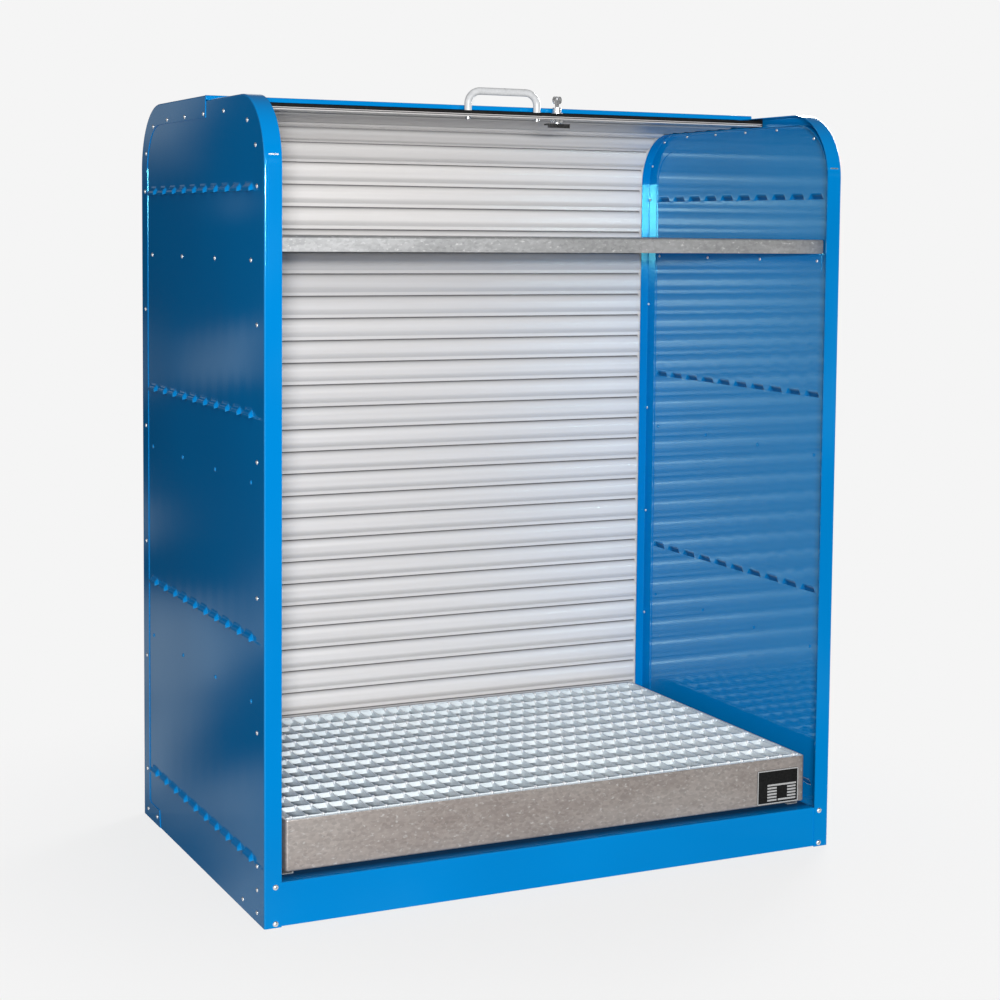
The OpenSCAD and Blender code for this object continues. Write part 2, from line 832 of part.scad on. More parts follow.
// Key: a flat bow with a ring hole and a neck that stands on the plug
module lock_key() {
    neck_w = plug_d * 0.7;
    neck_h = 8;
    bow_h = key_h - neck_h;
    ring_d = 5;
    color(zinc) translate([lock_x, bar_y + key_t / 2, barrel_top]) rotate([90, 0, 0]) linear_extrude(key_t)
        difference() {
            union() {
                translate([-neck_w / 2, 0]) square([neck_w, neck_h + bow_h / 2]);
                intersection() {
                    translate([0, neck_h + bow_h / 2]) circle(d = key_w);
                    translate([-key_w / 2, neck_h]) square([key_w, bow_h]);
                }
            }
            translate([0, key_h - ring_d]) circle(d = ring_d);
        }
}

module lock_cam() {
    color(black) translate([lock_x, bar_y, 0]) difference() {
        union() {
            translate([-cam_l / 2, -cam_w / 2, cam_foot]) cube([cam_l, cam_w, cam_t]);
            translate([-cam_l / 2, -cam_w / 2, cam_top - cam_edge]) cube([cam_l, cam_t, cam_edge]);
        }
        translate([0, 0, cam_foot - over]) cylinder(h = cam_t + 2 * over, d = cam_screw_d + hole_play);
    }
}

module cam_screw() {
    head_d = 9;
    head_h = 3;
    color(zinc) translate([lock_x, bar_y, cam_foot]) {
        translate([0, 0, -head_h]) cylinder(h = head_h, d = head_d);
        cylinder(h = cam_t + cam_screw_grip, d = cam_screw_d);
    }
}

// Groups of fasteners
module panel_rivets() {
    rivets(panel_rivet_places, panel_in - sheet, half_w);
}

module cover_rivets() {
    rivets(cover_rivet_places, panel_in - sheet, half_w + sheet);
}

module shelf_rail_rivets() {
    rivets(shelf_rivets, panel_in - sheet, half_w);
}

module spare_hole_plugs() {
    color(paint_dark) for (s = [0, 1]) mirror([s, 0, 0]) rivets(spare_holes, panel_in, half_w);
}

module back_rivets() {
    tail_h = 3;
    color(zinc) for (s = [0, 1]) mirror([s, 0, 0]) back_rivet_places() {
        cylinder(h = rivet_head_h, d1 = rivet_head_d, d2 = rivet_head_d * 0.55);
        translate([0, 0, -2 * sheet]) cylinder(h = 2 * sheet, d = rivet_d);
        translate([0, 0, -2 * sheet - tail_h]) cylinder(h = tail_h, d = rivet_d + 3);
    }
}

color(paint_dark) left_hand() side_panel();  // side_panel_left
color(paint) side_panel();  // side_panel_right
color(paint) left_hand() front_post();  // front_post_left
color(paint) front_post();  // front_post_right
color(paint_dark) left_hand() rear_post();  // rear_post_left
color(paint_dark) rear_post();  // rear_post_right
color(paint) left_hand() top_edge();  // top_edge_left
color(paint) top_edge();  // top_edge_right
color(paint) left_hand() front_track();  // front_track_left
color(paint) front_track();  // front_track_right
color(paint) left_hand() top_track();  // top_track_left
color(paint) top_track();  // top_track_right
color(paint) left_hand() rear_track();  // rear_track_left
color(paint) rear_track();  // rear_track_right
rear_cover();
base_front_rail();
base_rear_rail();
color(paint_dark) left_hand() base_side_rail();  // base_side_rail_left
color(paint_dark) base_side_rail();  // base_side_rail_right
color(paint) left_hand() shelf_rail();  // shelf_rail_left
color(paint) shelf_rail();  // shelf_rail_right
shelf();
tray_floor();
tray_long_walls();
tray_end_walls();
tray_skids();
grating_supports();
floor_grating();
type_plate();
top_slats();
slat(0);  // bend_slat_1
slat(1);  // bend_slat_2
slat(2);  // bend_slat_3
slat(3);  // bend_slat_4
slat(4);  // bend_slat_5
slat(5);  // bend_slat_6
rear_slats();
end_bar();
bar_seal();
bar_glides();
handle();
handle_screws();
lock_barrel();
lock_nut();
lock_plug();
lock_key();
lock_cam();
cam_screw();
color(zinc) left_hand() panel_rivets();  // panel_rivets_left
color(zinc) panel_rivets();  // panel_rivets_right
color(zinc) left_hand() cover_rivets();  // cover_rivets_left
color(zinc) cover_rivets();  // cover_rivets_right
color(zinc) left_hand() shelf_rail_rivets();  // shelf_rail_rivets_left
color(zinc) shelf_rail_rivets();  // shelf_rail_rivets_right
spare_hole_plugs();
base_bolts();
back_rivets();
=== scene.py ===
import bmesh
import bpy
import numpy as np
from mathutils import Matrix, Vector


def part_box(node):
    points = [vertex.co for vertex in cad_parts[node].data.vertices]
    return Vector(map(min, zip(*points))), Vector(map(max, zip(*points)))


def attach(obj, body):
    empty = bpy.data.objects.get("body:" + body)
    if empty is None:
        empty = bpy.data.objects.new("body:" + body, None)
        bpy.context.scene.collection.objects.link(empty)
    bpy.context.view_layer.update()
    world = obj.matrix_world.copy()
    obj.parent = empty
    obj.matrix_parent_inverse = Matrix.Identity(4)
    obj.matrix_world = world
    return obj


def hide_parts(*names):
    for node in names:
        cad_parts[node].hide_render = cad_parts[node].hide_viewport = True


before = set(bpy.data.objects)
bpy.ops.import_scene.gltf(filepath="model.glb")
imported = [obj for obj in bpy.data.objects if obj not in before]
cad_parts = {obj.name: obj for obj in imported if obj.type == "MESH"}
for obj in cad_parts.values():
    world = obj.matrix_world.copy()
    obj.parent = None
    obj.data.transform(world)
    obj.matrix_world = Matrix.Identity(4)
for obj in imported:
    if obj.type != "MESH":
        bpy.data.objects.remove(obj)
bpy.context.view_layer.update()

# Base rails. Four rails of folded sheet steel, powder coated in gloss blue, stand between the posts and
# carry the tray on their flat tops. Only the front one shows, so it alone gets its rounded fold here, and a
# top painted darker towards its back edge, as painted shadow under the tray.
# Sizes are in millimetres from here on, and places that have to fit come from the CAD nodes.
sheet = 1.5


def box_of(node):
    """A CAD node's lowest and highest corners in millimetres, to a hundredth."""
    return np.round(np.array(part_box(node)) * 1000, 2)


def round_line(corners, radius, closed=False):
    """A line through the corners in which each corner is an arc of the radius: the arc's middle lies on the
    corner's bisector, and its points turn evenly from one straight to the next."""
    c = np.array(corners, float)
    before, after = np.roll(c, 1, 0) - c, np.roll(c, -1, 0) - c
    u = before / np.linalg.norm(before, axis=1)[:, None]
    v = after / np.linalg.norm(after, axis=1)[:, None]
    half = np.arccos(np.clip((u * v).sum(1), -1, 1))[:, None] / 2
    middle = c + (u + v) / np.linalg.norm(u + v, axis=1)[:, None] * (radius / np.sin(half))
    start = c + u * (radius / np.tan(half)) - middle
    end = c + v * (radius / np.tan(half)) - middle
    turn = (np.pi - 2 * half)[:, None]
    share = np.linspace(0, 1, 6)[:, None]
    spread = np.sin((1 - share) * turn) * start[:, None] + np.sin(share * turn) * end[:, None]
    arcs = spread / np.sin(turn) + middle[:, None]
    if closed:
        return arcs.reshape(-1, 2)
    return np.concatenate([c[:1], arcs[1:-1].reshape(-1, 2), c[-1:]])


def sheet_section(corners, radius, long=4.0, inside=0.6):
    """Cross-section of a folded sheet: the rounded line through the corners, moved half the thickness to one
    side going out and half to the other side coming back. A point just inside each end of a long straight
    keeps its shading flat."""
    line = round_line(corners, radius)
    step = np.diff(line, axis=0)
    length = np.linalg.norm(step, axis=1)[:, None]
    straight = np.flatnonzero(length > long)
    inner = (step / length * inside)[straight]
    pairs = np.stack([line[straight] + inner, line[straight + 1] - inner], 1).reshape(-1, 2)
    line = np.insert(line, np.repeat(straight + 1, 2), pairs, axis=0)
    along = np.gradient(line, axis=0)
    along /= np.linalg.norm(along, axis=1)[:, None]
    across = np.column_stack([-along[:, 1], along[:, 0]]) * sheet / 2
    return np.concatenate([line + across, (line - across)[::-1]])


def ring_quads(rows, cols):
    """Quads of a grid whose rows are closed rings."""
    index = np.arange(rows * cols).reshape(rows, cols)
    ring = np.column_stack([index, index[:, 0]])
    return np.stack([ring[:-1, :-1], ring[:-1, 1:], ring[1:, 1:], ring[1:, :-1]], -1).reshape(-1, 4)


def strip_faces(rows, cols):
    """Quads of a tube of closed rows, and thin caps that join the two sides of its first and last row."""
    k = np.arange(cols // 2 - 1)
    cap = np.stack([k, k + 1, cols - 2 - k, cols - 1 - k], -1)
    return np.concatenate([ring_quads(rows, cols), cap, cap + (rows - 1) * cols])


def along_x(section, x0, x1):
    """A sheet section drawn in depth and height, carried straight from x0 to x1."""
    points = np.empty((2, len(section), 3))
    points[..., 0] = np.array([[x0], [x1]])
    points[..., 1:] = section
    return points.reshape(-1, 3), strip_faces(2, len(section))


def piece(name, shapes, material, body, slot, *stands_for, smooth=35, shade=None):
    """Joins shapes, each points in millimetres and faces, into one closed mesh. An edge is crisp where its
    faces turn by more than the smooth angle in degrees. The shade, one value per point, is painted shade: it
    says how dark the finish is there."""
    points = np.concatenate([p for p, _ in shapes])
    starts = np.cumsum([0] + [len(p) for p, _ in shapes[:-1]])
    faces = [face for (_, f), n in zip(shapes, starts) for face in (np.asarray(f) + n).tolist()]
    mesh = bpy.data.meshes.new(name)
    mesh.from_pydata((points / 1000).tolist(), [], faces)
    if shade is not None:
        mesh.attributes.new("shade", "FLOAT", "POINT").data.foreach_set("value", shade)
    work = bmesh.new()
    work.from_mesh(mesh)
    bmesh.ops.remove_doubles(work, verts=work.verts, dist=2e-5)
    bmesh.ops.dissolve_degenerate(work, edges=work.edges, dist=1e-6)
    bmesh.ops.recalc_face_normals(work, faces=work.faces)
    work.to_mesh(mesh)
    work.free()
    mesh.shade_smooth()
    mesh.set_sharp_from_angle(angle=np.radians(smooth))
    mesh.materials.append(material)
    obj = bpy.data.objects.new(name, mesh)
    bpy.context.scene.collection.objects.link(obj)
    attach(obj, body)
    if stands_for:
        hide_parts(*stands_for)
    return obj


def finish_of(name, **sockets):
    """A new material, its node tree and its shader, with the given sockets set to constants."""
    material = bpy.data.materials.new(name)
    material.use_nodes = True
    shader = material.node_tree.nodes["Principled BSDF"]
    for socket, value in sockets.items():
        shader.inputs[socket.replace("_", " ")].default_value = value
    return material, material.node_tree, shader


def texture(tree, kind, scale, stretch=(1, 1, 1), **settings):
    """A procedural texture of a kind, Noise or Voronoi, on Object coordinates stretched along the axes."""
    place = tree.nodes.new("ShaderNodeMapping")
    place.inputs["Scale"].default_value = stretch
    tree.links.new(tree.nodes.new("ShaderNodeTexCoord").outputs["Object"], place.inputs["Vector"])
    node = tree.nodes.new("ShaderNodeTex" + kind)
    node.inputs["Scale"].default_value = scale
    for socket, value in settings.items():
        node.inputs[socket].default_value = value
    tree.links.new(place.outputs["Vector"], node.inputs["Vector"])
    return node


def ramp(tree, source, *stops):
    """A colour ramp from a texture's value: stops are (place, colour or grey)."""
    node = tree.nodes.new("ShaderNodeValToRGB")
    while len(node.color_ramp.elements) < len(stops):
        node.color_ramp.elements.new(0.5)
    for element, (place, tone) in zip(node.color_ramp.elements, stops):
        element.position = place
        element.color = (*tone, 1) if isinstance(tone, tuple) else (tone, tone, tone, 1)
    tree.links.new(source, node.inputs["Fac"])
    return node.outputs["Color"]


def blend(tree, kind, share, first, second):
    """Mixes two colours, each a link or a constant, by a share that is either too."""
    node = tree.nodes.new("ShaderNodeMix")
    node.data_type = "RGBA"
    node.blend_type = kind
    for socket, value in (("Factor", share), ("A", first), ("B", second)):
        if isinstance(value, (float, tuple)):
            node.inputs[socket].default_value = (*value, 1) if isinstance(value, tuple) else value
        else:
            tree.links.new(value, node.inputs[socket])
    return node.outputs["Result"]


def shaded(tree, colour, dark):
    """The colour, turned towards a dark one where a mesh's painted shade says so."""
    node = tree.nodes.new("ShaderNodeAttribute")
    node.attribute_name = "shade"
    return blend(tree, "MIX", node.outputs["Fac"], colour, dark)


def bump(tree, shader, source, distance, below=None):
    """Bump of that depth in metres from a height texture, on top of another bump if one is given."""
    node = tree.nodes.new("ShaderNodeBump")
    node.inputs["Distance"].default_value = distance
    tree.links.new(source, node.inputs["Height"])
    if below is not None:
        tree.links.new(below.outputs["Normal"], node.inputs["Normal"])
    tree.links.new(node.outputs["Normal"], shader.inputs["Normal"])
    return node


painted_shade_blue, matt = (0.0, 0.03, 0.13), (0.85, 0.85, 0.85)
blue_paint, tree, shader = finish_of("blue_paint", IOR=1.62, Specular_Tint=(0.25, 0.92, 1.0, 1))
cloud = texture(tree, "Noise", 2.2, Detail=2)
coat = ramp(tree, cloud.outputs["Fac"], (0.3, (0.0, 0.205, 0.56)), (0.7, (0.0, 0.23, 0.62)))
gloss = ramp(tree, cloud.outputs["Fac"], (0.3, 0.09), (0.7, 0.06))
# Where a mesh's shade says so, the coat turns deep blue as painted shade and grows matt.
tree.links.new(shaded(tree, coat, painted_shade_blue), shader.inputs["Base Color"])
tree.links.new(shaded(tree, gloss, matt), shader.inputs["Roughness"])
waves = texture(tree, "Noise", 1.4, (1, 0.6, 1.6), Detail=0)
grain = texture(tree, "Noise", 320, Detail=1)
bump(tree, shader, grain.outputs["Fac"], 0.000006, bump(tree, shader, waves.outputs["Fac"], 0.0004))


def dress(material, *nodes):
    """Gives CAD nodes that show as they are their finish."""
    for node in nodes:
        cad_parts[node].data.materials.clear()
        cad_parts[node].data.materials.append(material)


post_inner = box_of("front_post_right")[0][0]
rail_low, rail_high = box_of("base_front_rail")
rail_face, rail_back = rail_low[1] + sheet / 2, rail_high[1]
rail_foot, rail_top = rail_low[2], rail_high[2] - sheet / 2
rail_bend, shadow_edge, shadow_shade = 2.6, rail_back - 10, 2.5
rail_line = [(rail_face, rail_foot), (rail_face, rail_top), (rail_back, rail_top)]
rail = along_x(sheet_section(rail_line, rail_bend), -post_inner, post_inner)
# The rail's top is painted darker towards its back edge: painted shadow under the tray.
painted_tray_shadow = np.where(rail[0][:, 1] > shadow_edge, shadow_shade, 0.0)
piece("front_rail", [rail], blue_paint, "cabinet", "blue_paint", "base_front_rail", shade=painted_tray_shadow)
dress(blue_paint, "base_rear_rail", "base_side_rail_left", "base_side_rail_right")

# Side panels. Each is one blue sheet with two rounded top corners, which ends where the flange's bend begins.
# Four rows of ten louvres are pressed out of it: hoods with leaning ends that are slit open along their lower
# edge, where the lip hangs a little below the slit.
sides = ((-1, "left"), (1, "right"))
louvre_out, louvre_h, lip_drop = 8.0, 14.0, 3.0
louvre_half, louvre_lean, louvre_end = 28.0, 7.0, 5.5
louvre_pitch, louvre_rows, louvre_foot = 73, 433, 117
louvre_y = louvre_pitch * (np.arange(10) - 4.5)
louvre_z = louvre_foot + louvre_rows * np.arange(4)
hood_x, half_depth, panel_top = box_of("side_panel_right")[1]
panel_x = hood_x - louvre_out
corner_z = box_of("top_edge_right")[0][2]
corner_r = panel_top - corner_z
corner_y = half_depth - corner_r
panel_edge = 4.0


def smooth_step(x):
    """Rises from 0 to 1 as x does, level at both ends."""
    t = np.clip(x, 0, 1)
    return t * t * (3 - 2 * t)


def louvre_rise(y, z):
    """How far the sheet stands out: the hood's slope, which climbs from its top edge over 85 % of its height,
    times the slope of its ends, which lean in towards the top."""
    rise = np.zeros(np.broadcast(y, z).shape)
    for foot in louvre_z:
        up = (z - foot) / louvre_h
        slope = smooth_step((1.05 - up) / 0.85)
        on_hood = (up > -1e-6) & (up < 1.1)
        for middle in louvre_y:
            ends = smooth_step((louvre_half - louvre_lean * up - np.abs(y - middle)) / louvre_end)
            rise += np.where(on_hood, louvre_out * slope * ends, 0)
    return rise


def panel_sheet():
    """A grid of depth and height, finer at the louvres. Its depth follows the rounded corners: the corner's
    middle plus what the arc leaves at that height. Each louvre's lower row stands twice, at the sheet and at
    the lip, and is left open between."""
    half, r = half_depth - panel_edge, corner_r - panel_edge
    ends = np.concatenate([[10, 14], np.arange(16, 28, 1.5), [28.5]])
    ups = np.array([-4, 0, 0, 1.2, 2.5, 4, 6, 8, 10, 12, 13.2, 14.5, 16])
    y = np.concatenate([[-half], (louvre_y[:, None] + [*-ends[::-1], 0, *ends]).ravel(), [half]])
    arc = corner_z + r * np.sin(np.linspace(0.06, np.pi / 2, 26))
    z = np.concatenate([[0], (louvre_z[:, None] + ups).ravel(), [corner_z], arc])
    lip = 3 + len(ups) * np.arange(len(louvre_z))
    in_corner = corner_y + np.sqrt(np.clip(r ** 2 - (z - corner_z) ** 2, 0, None))
    depth = y * (np.where(z > corner_z, in_corner, half) / half)[:, None]
    height = np.repeat(z[:, None], len(y), 1)
    rise = louvre_rise(depth, height)
    rise[lip - 1] = 0
    height[lip] -= lip_drop * rise[lip] / louvre_out
    index = np.arange(depth.size).reshape(depth.shape)
    quads = np.stack([index[:-1, :-1], index[:-1, 1:], index[1:, 1:], index[1:, :-1]], -1)
    closed = np.delete(quads, lip - 1, axis=0)
    return np.stack([panel_x + rise, depth, height], -1).reshape(-1, 3), closed.reshape(-1, 4)


def side_panel(side, name):
    """The right-hand sheet, or its mirror image, given its thickness inwards. The pockets behind the hoods,
    which little light reaches, get painted shade that deepens with their depth."""
    points, quads = panel_sheet()
    panel = piece("panel_" + name, [(points * [side, 1, 1], quads)], blue_paint, "cabinet", "blue_paint",
                  "side_panel_" + name, smooth=50)
    work = bmesh.new()
    work.from_mesh(panel.data)
    if sum(face.normal.x * face.calc_area() for face in work.faces) * side < 0:
        bmesh.ops.reverse_faces(work, faces=work.faces)
    work.to_mesh(panel.data)
    work.free()
    wall = panel.modifiers.new("sheet", "SOLIDIFY")
    wall.thickness = sheet / 1000
    wall.offset = -1
    made = panel.evaluated_get(bpy.context.evaluated_depsgraph_get())
    panel.data = bpy.data.meshes.new_from_object(made)
    panel.modifiers.clear()
    panel.data.set_sharp_from_angle(angle=np.radians(40))
    place = np.empty(len(panel.data.vertices) * 3)
    panel.data.vertices.foreach_get("co", place)
    # Painted shade: the inner wall darkens with how far it stands out into a hood's pocket, up to a limit.
    pocket_start, pocket_full, darkest = panel_x - 0.7, 4, 0.65
    painted_pocket_shade = np.clip((np.abs(place[::3]) * 1000 - pocket_start) / pocket_full, 0, darkest)
    painted_pocket_shade[:len(painted_pocket_shade) // 2] = 0
    panel.data.attributes.new("shade", "FLOAT", "POINT").data.foreach_set("value", painted_pocket_shade)


for side, name in sides:
    side_panel(side, name)

# Posts and top edges. The panel's edge turns inwards as a 35 mm flange: straight up the front and rear as
# posts with a leg along the panel, and over the top as a separate bent strip. A short weld bead shows at each
# of the two front joints.
flange_bend, post_leg = 2.4, 18.5


def outline(start, end):
    """Points and inward directions along the side panel's edge, from the front foot up, over and down the
    rear. start and end count the five stretches: post, front corner, top, rear corner, rear post."""
    quarter = np.linspace(0, np.pi / 2, 19)
    out = np.column_stack([-np.cos(quarter), np.sin(quarter)])
    back = (out * [-1, 1])[::-1]
    stretches = [
        (np.array([[-half_depth, 0], [-half_depth, corner_z]]), np.array([[1, 0], [1, 0]])),
        (np.array([-corner_y, corner_z]) + corner_r * out, -out),
        (np.array([[-corner_y, panel_top], [corner_y, panel_top]]), np.array([[0, -1], [0, -1]])),
        (np.array([corner_y, corner_z]) + corner_r * back, -back),
        (np.array([[half_depth, corner_z], [half_depth, 0]]), np.array([[-1, 0], [-1, 0]])),
    ][start:end]
    return np.concatenate([p for p, _ in stretches]), np.concatenate([n for _, n in stretches]).astype(float)


def carry(section, path, inward, inset=None):
    """A sheet section drawn in width and inset, carried along an outline: each point stands its inset in from
    it. Where the inset changes along the path, it is given for each point of path and section."""
    inset = section[None, :, 1] if inset is None else inset
    points = np.empty((len(path), len(section), 3))
    points[..., 0] = section[:, 0]
    points[..., 1:] = path[:, None] + inset[..., None] * inward[:, None]
    return points.reshape(-1, 3), strip_faces(len(path), len(section))


flange_x = panel_x - sheet / 2
flange = sheet_section([(post_inner, sheet / 2), (flange_x, sheet / 2), (flange_x, panel_edge)], flange_bend)
leg_x = np.array([panel_x - 2 * sheet, panel_x - sheet])
leg = np.column_stack([np.repeat(leg_x, 2), [sheet, post_leg, post_leg, sheet]])
edges = [("post_front_", "front_post_", (0, 1), [flange, leg]), ("edge_top_", "top_edge_", (1, 4), [flange]),
         ("post_rear_", "rear_post_", (4, 5), [flange, leg])]
for side, name in sides:
    for part, node, stretch, sections in edges:
        shapes = [carry(section * [side, 1], *outline(*stretch)) for section in sections]
        piece(part + name, shapes, blue_paint, "cabinet", "blue_paint", node + name)


def noise_finish(name, scale, tones, rough, depth=0.0, stretch=(1, 1, 1), detail=2, dark=None, **sockets):
    """A finish from one noise, which drives the colour, the roughness and a bump of the given depth in
    metres. Where a dark tone is given, a mesh's painted shade turns the colour towards it."""
    material, tree, shader = finish_of(name, **sockets)
    noise = texture(tree, "Noise", scale, stretch, Detail=detail).outputs["Fac"]
    colour = ramp(tree, noise, *tones)
    tree.links.new(shaded(tree, colour, dark) if dark else colour, shader.inputs["Base Color"])
    tree.links.new(ramp(tree, noise, *rough), shader.inputs["Roughness"])
    if depth:
        bump(tree, shader, noise, depth)
    return material


zinc = noise_finish("zinc", 180, [(0.3, (0.66, 0.67, 0.68)), (0.7, (0.84, 0.84, 0.83))],
                    [(0.3, 0.22), (0.7, 0.38)], detail=3, Metallic=0.9)
bead = np.array([(0.3, 20.0), (1.7, 19.4), (1.9, 22.6), (0.5, 22.0)]) + [-half_depth, corner_z]
bead_inner, bead_outer = 622, 641
beads = [along_x(bead, -bead_outer, -bead_inner), along_x(bead, bead_inner, bead_outer)]
piece("strip_joints", beads, zinc, "cabinet", "zinc")

# Tracks. An angle of blue sheet follows each panel's edge 20 mm inside it. Its lip guides the slats against
# the flange, and its leg is riveted to the panel.
track_low, track_high = box_of("front_track_right")
track_lip, track_leg = half_depth + track_low[1] + sheet / 2, half_depth + track_high[1]
track_x, track_foot = panel_x - 1.5 * sheet, track_low[2]
track = sheet_section([(track_low[0], track_lip), (track_x, track_lip), (track_x, track_leg)], flange_bend)
for side, name in sides:
    for part, stretch in {"front": (0, 1), "top": (1, 4), "rear": (4, 5)}.items():
        path, inward = outline(*stretch)
        path[:, 1] = np.maximum(path[:, 1], track_foot)
        piece(f"track_{part}_{name}", [carry(track * [side, 1], path, inward)], blue_paint, "cabinet",
              "blue_paint", f"{part}_track_{name}")

# Roof and rear cover. One large blue sheet forms the roof, the rear bend and the back. Its sides lap over the
# panels and are riveted on, with a longer foot at the bottom, and its front edge is turned down.
cover_low, cover_high = box_of("rear_cover")
cover_x, cover_front = cover_high[0] - sheet / 2, cover_low[1]
cover_back, cover_top = cover_high[1:]
cover_bend, cover_lap, front_lip = 2.2, 45.0, 9.5
foot_z, foot_lap = (44, 38.01, 38, 0), (cover_lap, 55, 122, 130)


def rear_cover():
    """The cover's section carried from the roof's front edge over the bend to the floor. The lap keeps its
    width down to the foot, where it grows linearly between the given heights."""
    quarter = np.linspace(0, np.pi / 2, 25)
    out = np.column_stack([np.sin(quarter), np.cos(quarter)])
    r = cover_back - corner_y
    roof = np.column_stack([np.linspace(cover_front + 4, corner_y, 8), np.full(8, cover_top)])
    bend = np.array([corner_y, cover_top - r]) + r * out
    back = np.array([[cover_back, z] for z in (900, *foot_z)])
    path = np.concatenate([roof, bend[1:], back])
    inward = np.concatenate([0 * roof - [0, 1], -out[1:], 0 * back - [1, 0]])
    lap = np.interp(path[:, 1], foot_z[::-1], foot_lap[::-1])
    corners = [(-cover_x, cover_lap), (-cover_x, sheet / 2), (cover_x, sheet / 2), (cover_x, cover_lap)]
    section = sheet_section(corners, cover_bend)
    inset = np.where(section[:, 1] > cover_lap - 0.3, lap[:, None], section[:, 1])
    return carry(section, path, inward, inset)


lip_y, lip_top = cover_front + sheet / 2, cover_top - sheet / 2
lip_line = [(cover_front + 5, lip_top), (lip_y, lip_top), (lip_y, cover_top - front_lip)]
roof_lip = along_x(sheet_section(lip_line, cover_bend), 0.5 - cover_high[0], cover_high[0] - 0.5)
piece("roof_and_back", [rear_cover(), roof_lip], blue_paint, "cabinet", "blue_paint", "rear_cover")

# Shelf. A galvanised sheet with its four edges folded down 30 mm lies loose on two blue rails, which are
# riveted to the side panels.
dress(blue_paint, "shelf_rail_left", "shelf_rail_right")


def galvanised_finish(name, metal, dark, light, bright, crystal=0.72):
    """Zinc-dipped steel: small crystal fields, the darkest of which has the given share of the tone, clouded
    by wide stains from dark to bright and dotted with white flecks, under a faint grain."""
    material, tree, shader = finish_of(name, Metallic=metal)
    spangle = texture(tree, "Voronoi", 210, (0.6, 1, 1), Randomness=1.0)
    stain = texture(tree, "Noise", 14, (0.35, 1, 1), Detail=6, Roughness=0.65)
    fleck = texture(tree, "Noise", 170, (0.6, 1, 1), Detail=3)
    grain = texture(tree, "Noise", 260, (0.25, 1, 1), Detail=3)
    fields = ramp(tree, spangle.outputs["Color"], (0.0, crystal), (1.0, 1.0))
    stains = ramp(tree, stain.outputs["Fac"], (0.28, dark), (0.5, light), (0.72, bright))
    flecks = ramp(tree, fleck.outputs["Fac"], (0.6, 0.0), (0.74, 0.6))
    tone = blend(tree, "MULTIPLY", 1.0, fields, stains)
    tree.links.new(blend(tree, "MIX", flecks, tone, (0.80, 0.80, 0.79)), shader.inputs["Base Color"])
    tree.links.new(ramp(tree, stain.outputs["Fac"], (0.3, 0.5), (0.7, 0.34)), shader.inputs["Roughness"])
    bump(tree, shader, grain.outputs["Fac"], 0.00012)
    return material


def pan(half_x, half_y, middle, corner, rings, steps=7):
    """A folded sheet box: rings, each an inset and a height, run round a rectangle with rounded corners. The
    corner's radius shrinks with the inset, and the innermost rings close over the middle."""
    inset, height = np.array(rings, float).T
    turn = np.linspace(0, np.pi / 2, steps) + np.arange(4)[:, None] * np.pi / 2
    signs = np.array([[1, 1], [-1, 1], [-1, -1], [1, -1]])
    r = np.minimum(np.maximum(corner - inset, 0.3), np.maximum(half_y - inset, 0))
    core = np.stack([half_x - inset - r, half_y - inset - r], -1)
    points = np.empty((len(inset), 4, steps, 3))
    round_corner = r[:, None, None, None] * np.stack([np.cos(turn), np.sin(turn)], -1)
    points[..., :2] = (core[:, None] * signs)[:, :, None] + round_corner
    points[..., 2] = height[:, None, None]
    return points.reshape(-1, 3) + middle, ring_quads(len(inset), 4 * steps)


def fold(inset, height, radius, start, end):
    """A turn in a pan's wall: inset and height of its middle, radius, and angles in degrees."""
    a = np.radians(np.linspace(start, end, 6))
    return list(np.column_stack([inset - radius * np.cos(a), height + radius * np.sin(a)]))


galvanised = galvanised_finish("galvanised", 0.45, (0.32, 0.325, 0.325), (0.43, 0.435, 0.44),
                               (0.58, 0.585, 0.59))
shelf_low, shelf_high = box_of("shelf")
shelf_half_x, shelf_half_y, _ = (shelf_high - shelf_low) / 2
shelf_y = (shelf_low[1] + shelf_high[1]) / 2
shelf_foot, shelf_top, shelf_bend, shelf_hem = shelf_low[2], shelf_high[2], 4.5, sheet / 2
shelf_under, bend_z, shelf_corner = shelf_top - sheet, shelf_top - shelf_bend, 5
shelf_rings = [(shelf_half_y, shelf_under), (2 * shelf_bend, shelf_under), (shelf_bend, shelf_under),
               *fold(shelf_bend, bend_z, shelf_bend - sheet, 90, 0)[1:],
               (sheet, bend_z - 1.8), (sheet, shelf_foot + 0.8),
               *fold(shelf_hem, shelf_foot + shelf_hem, shelf_hem, 180, 360)[1:],
               (0, shelf_foot + 1.7), (0, bend_z - 1.8),
               *fold(shelf_bend, bend_z, shelf_bend, 0, 90),
               (2 * shelf_bend, shelf_top), (shelf_half_y, shelf_top)]
shelf_pan = pan(shelf_half_x, shelf_half_y, (0, shelf_y, 0), shelf_corner, shelf_rings)
piece("shelf_sheet", [shelf_pan], galvanised, "loose_shelf", "galvanised", "shelf")

# Spill tray. A welded tray of galvanised sheet stands on two skids and catches leaks. Three channels in it
# carry the grating.
tray_low, tray_high = box_of("tray_long_walls")
tray_half_x, tray_half_y, _ = (tray_high - tray_low) / 2
tray_front, tray_y, tray_top = tray_low[1], (tray_low[1] + tray_high[1]) / 2, tray_high[2]
tray_foot, tray_bend, tray_rim, tray_corner = 99, 4, 1.2, 6
tray_floor, rim_z = tray_foot + 2, tray_top - tray_rim
tray_rings = [(tray_half_y, tray_foot), (9, tray_foot), (tray_bend, tray_foot),
              *fold(tray_bend, tray_foot + tray_bend, tray_bend, -90, 0)[1:],
              (0, tray_foot + 6), (0, rim_z - 1.3), (0, rim_z),
              *fold(tray_rim, rim_z, tray_rim, 0, 180)[1:],
              (2 * tray_rim, rim_z - 1.3), (2 * tray_rim, tray_floor + 3), (2.8, tray_floor + 0.8),
              (4.4, tray_floor), (9, tray_floor), (tray_half_y, tray_floor)]
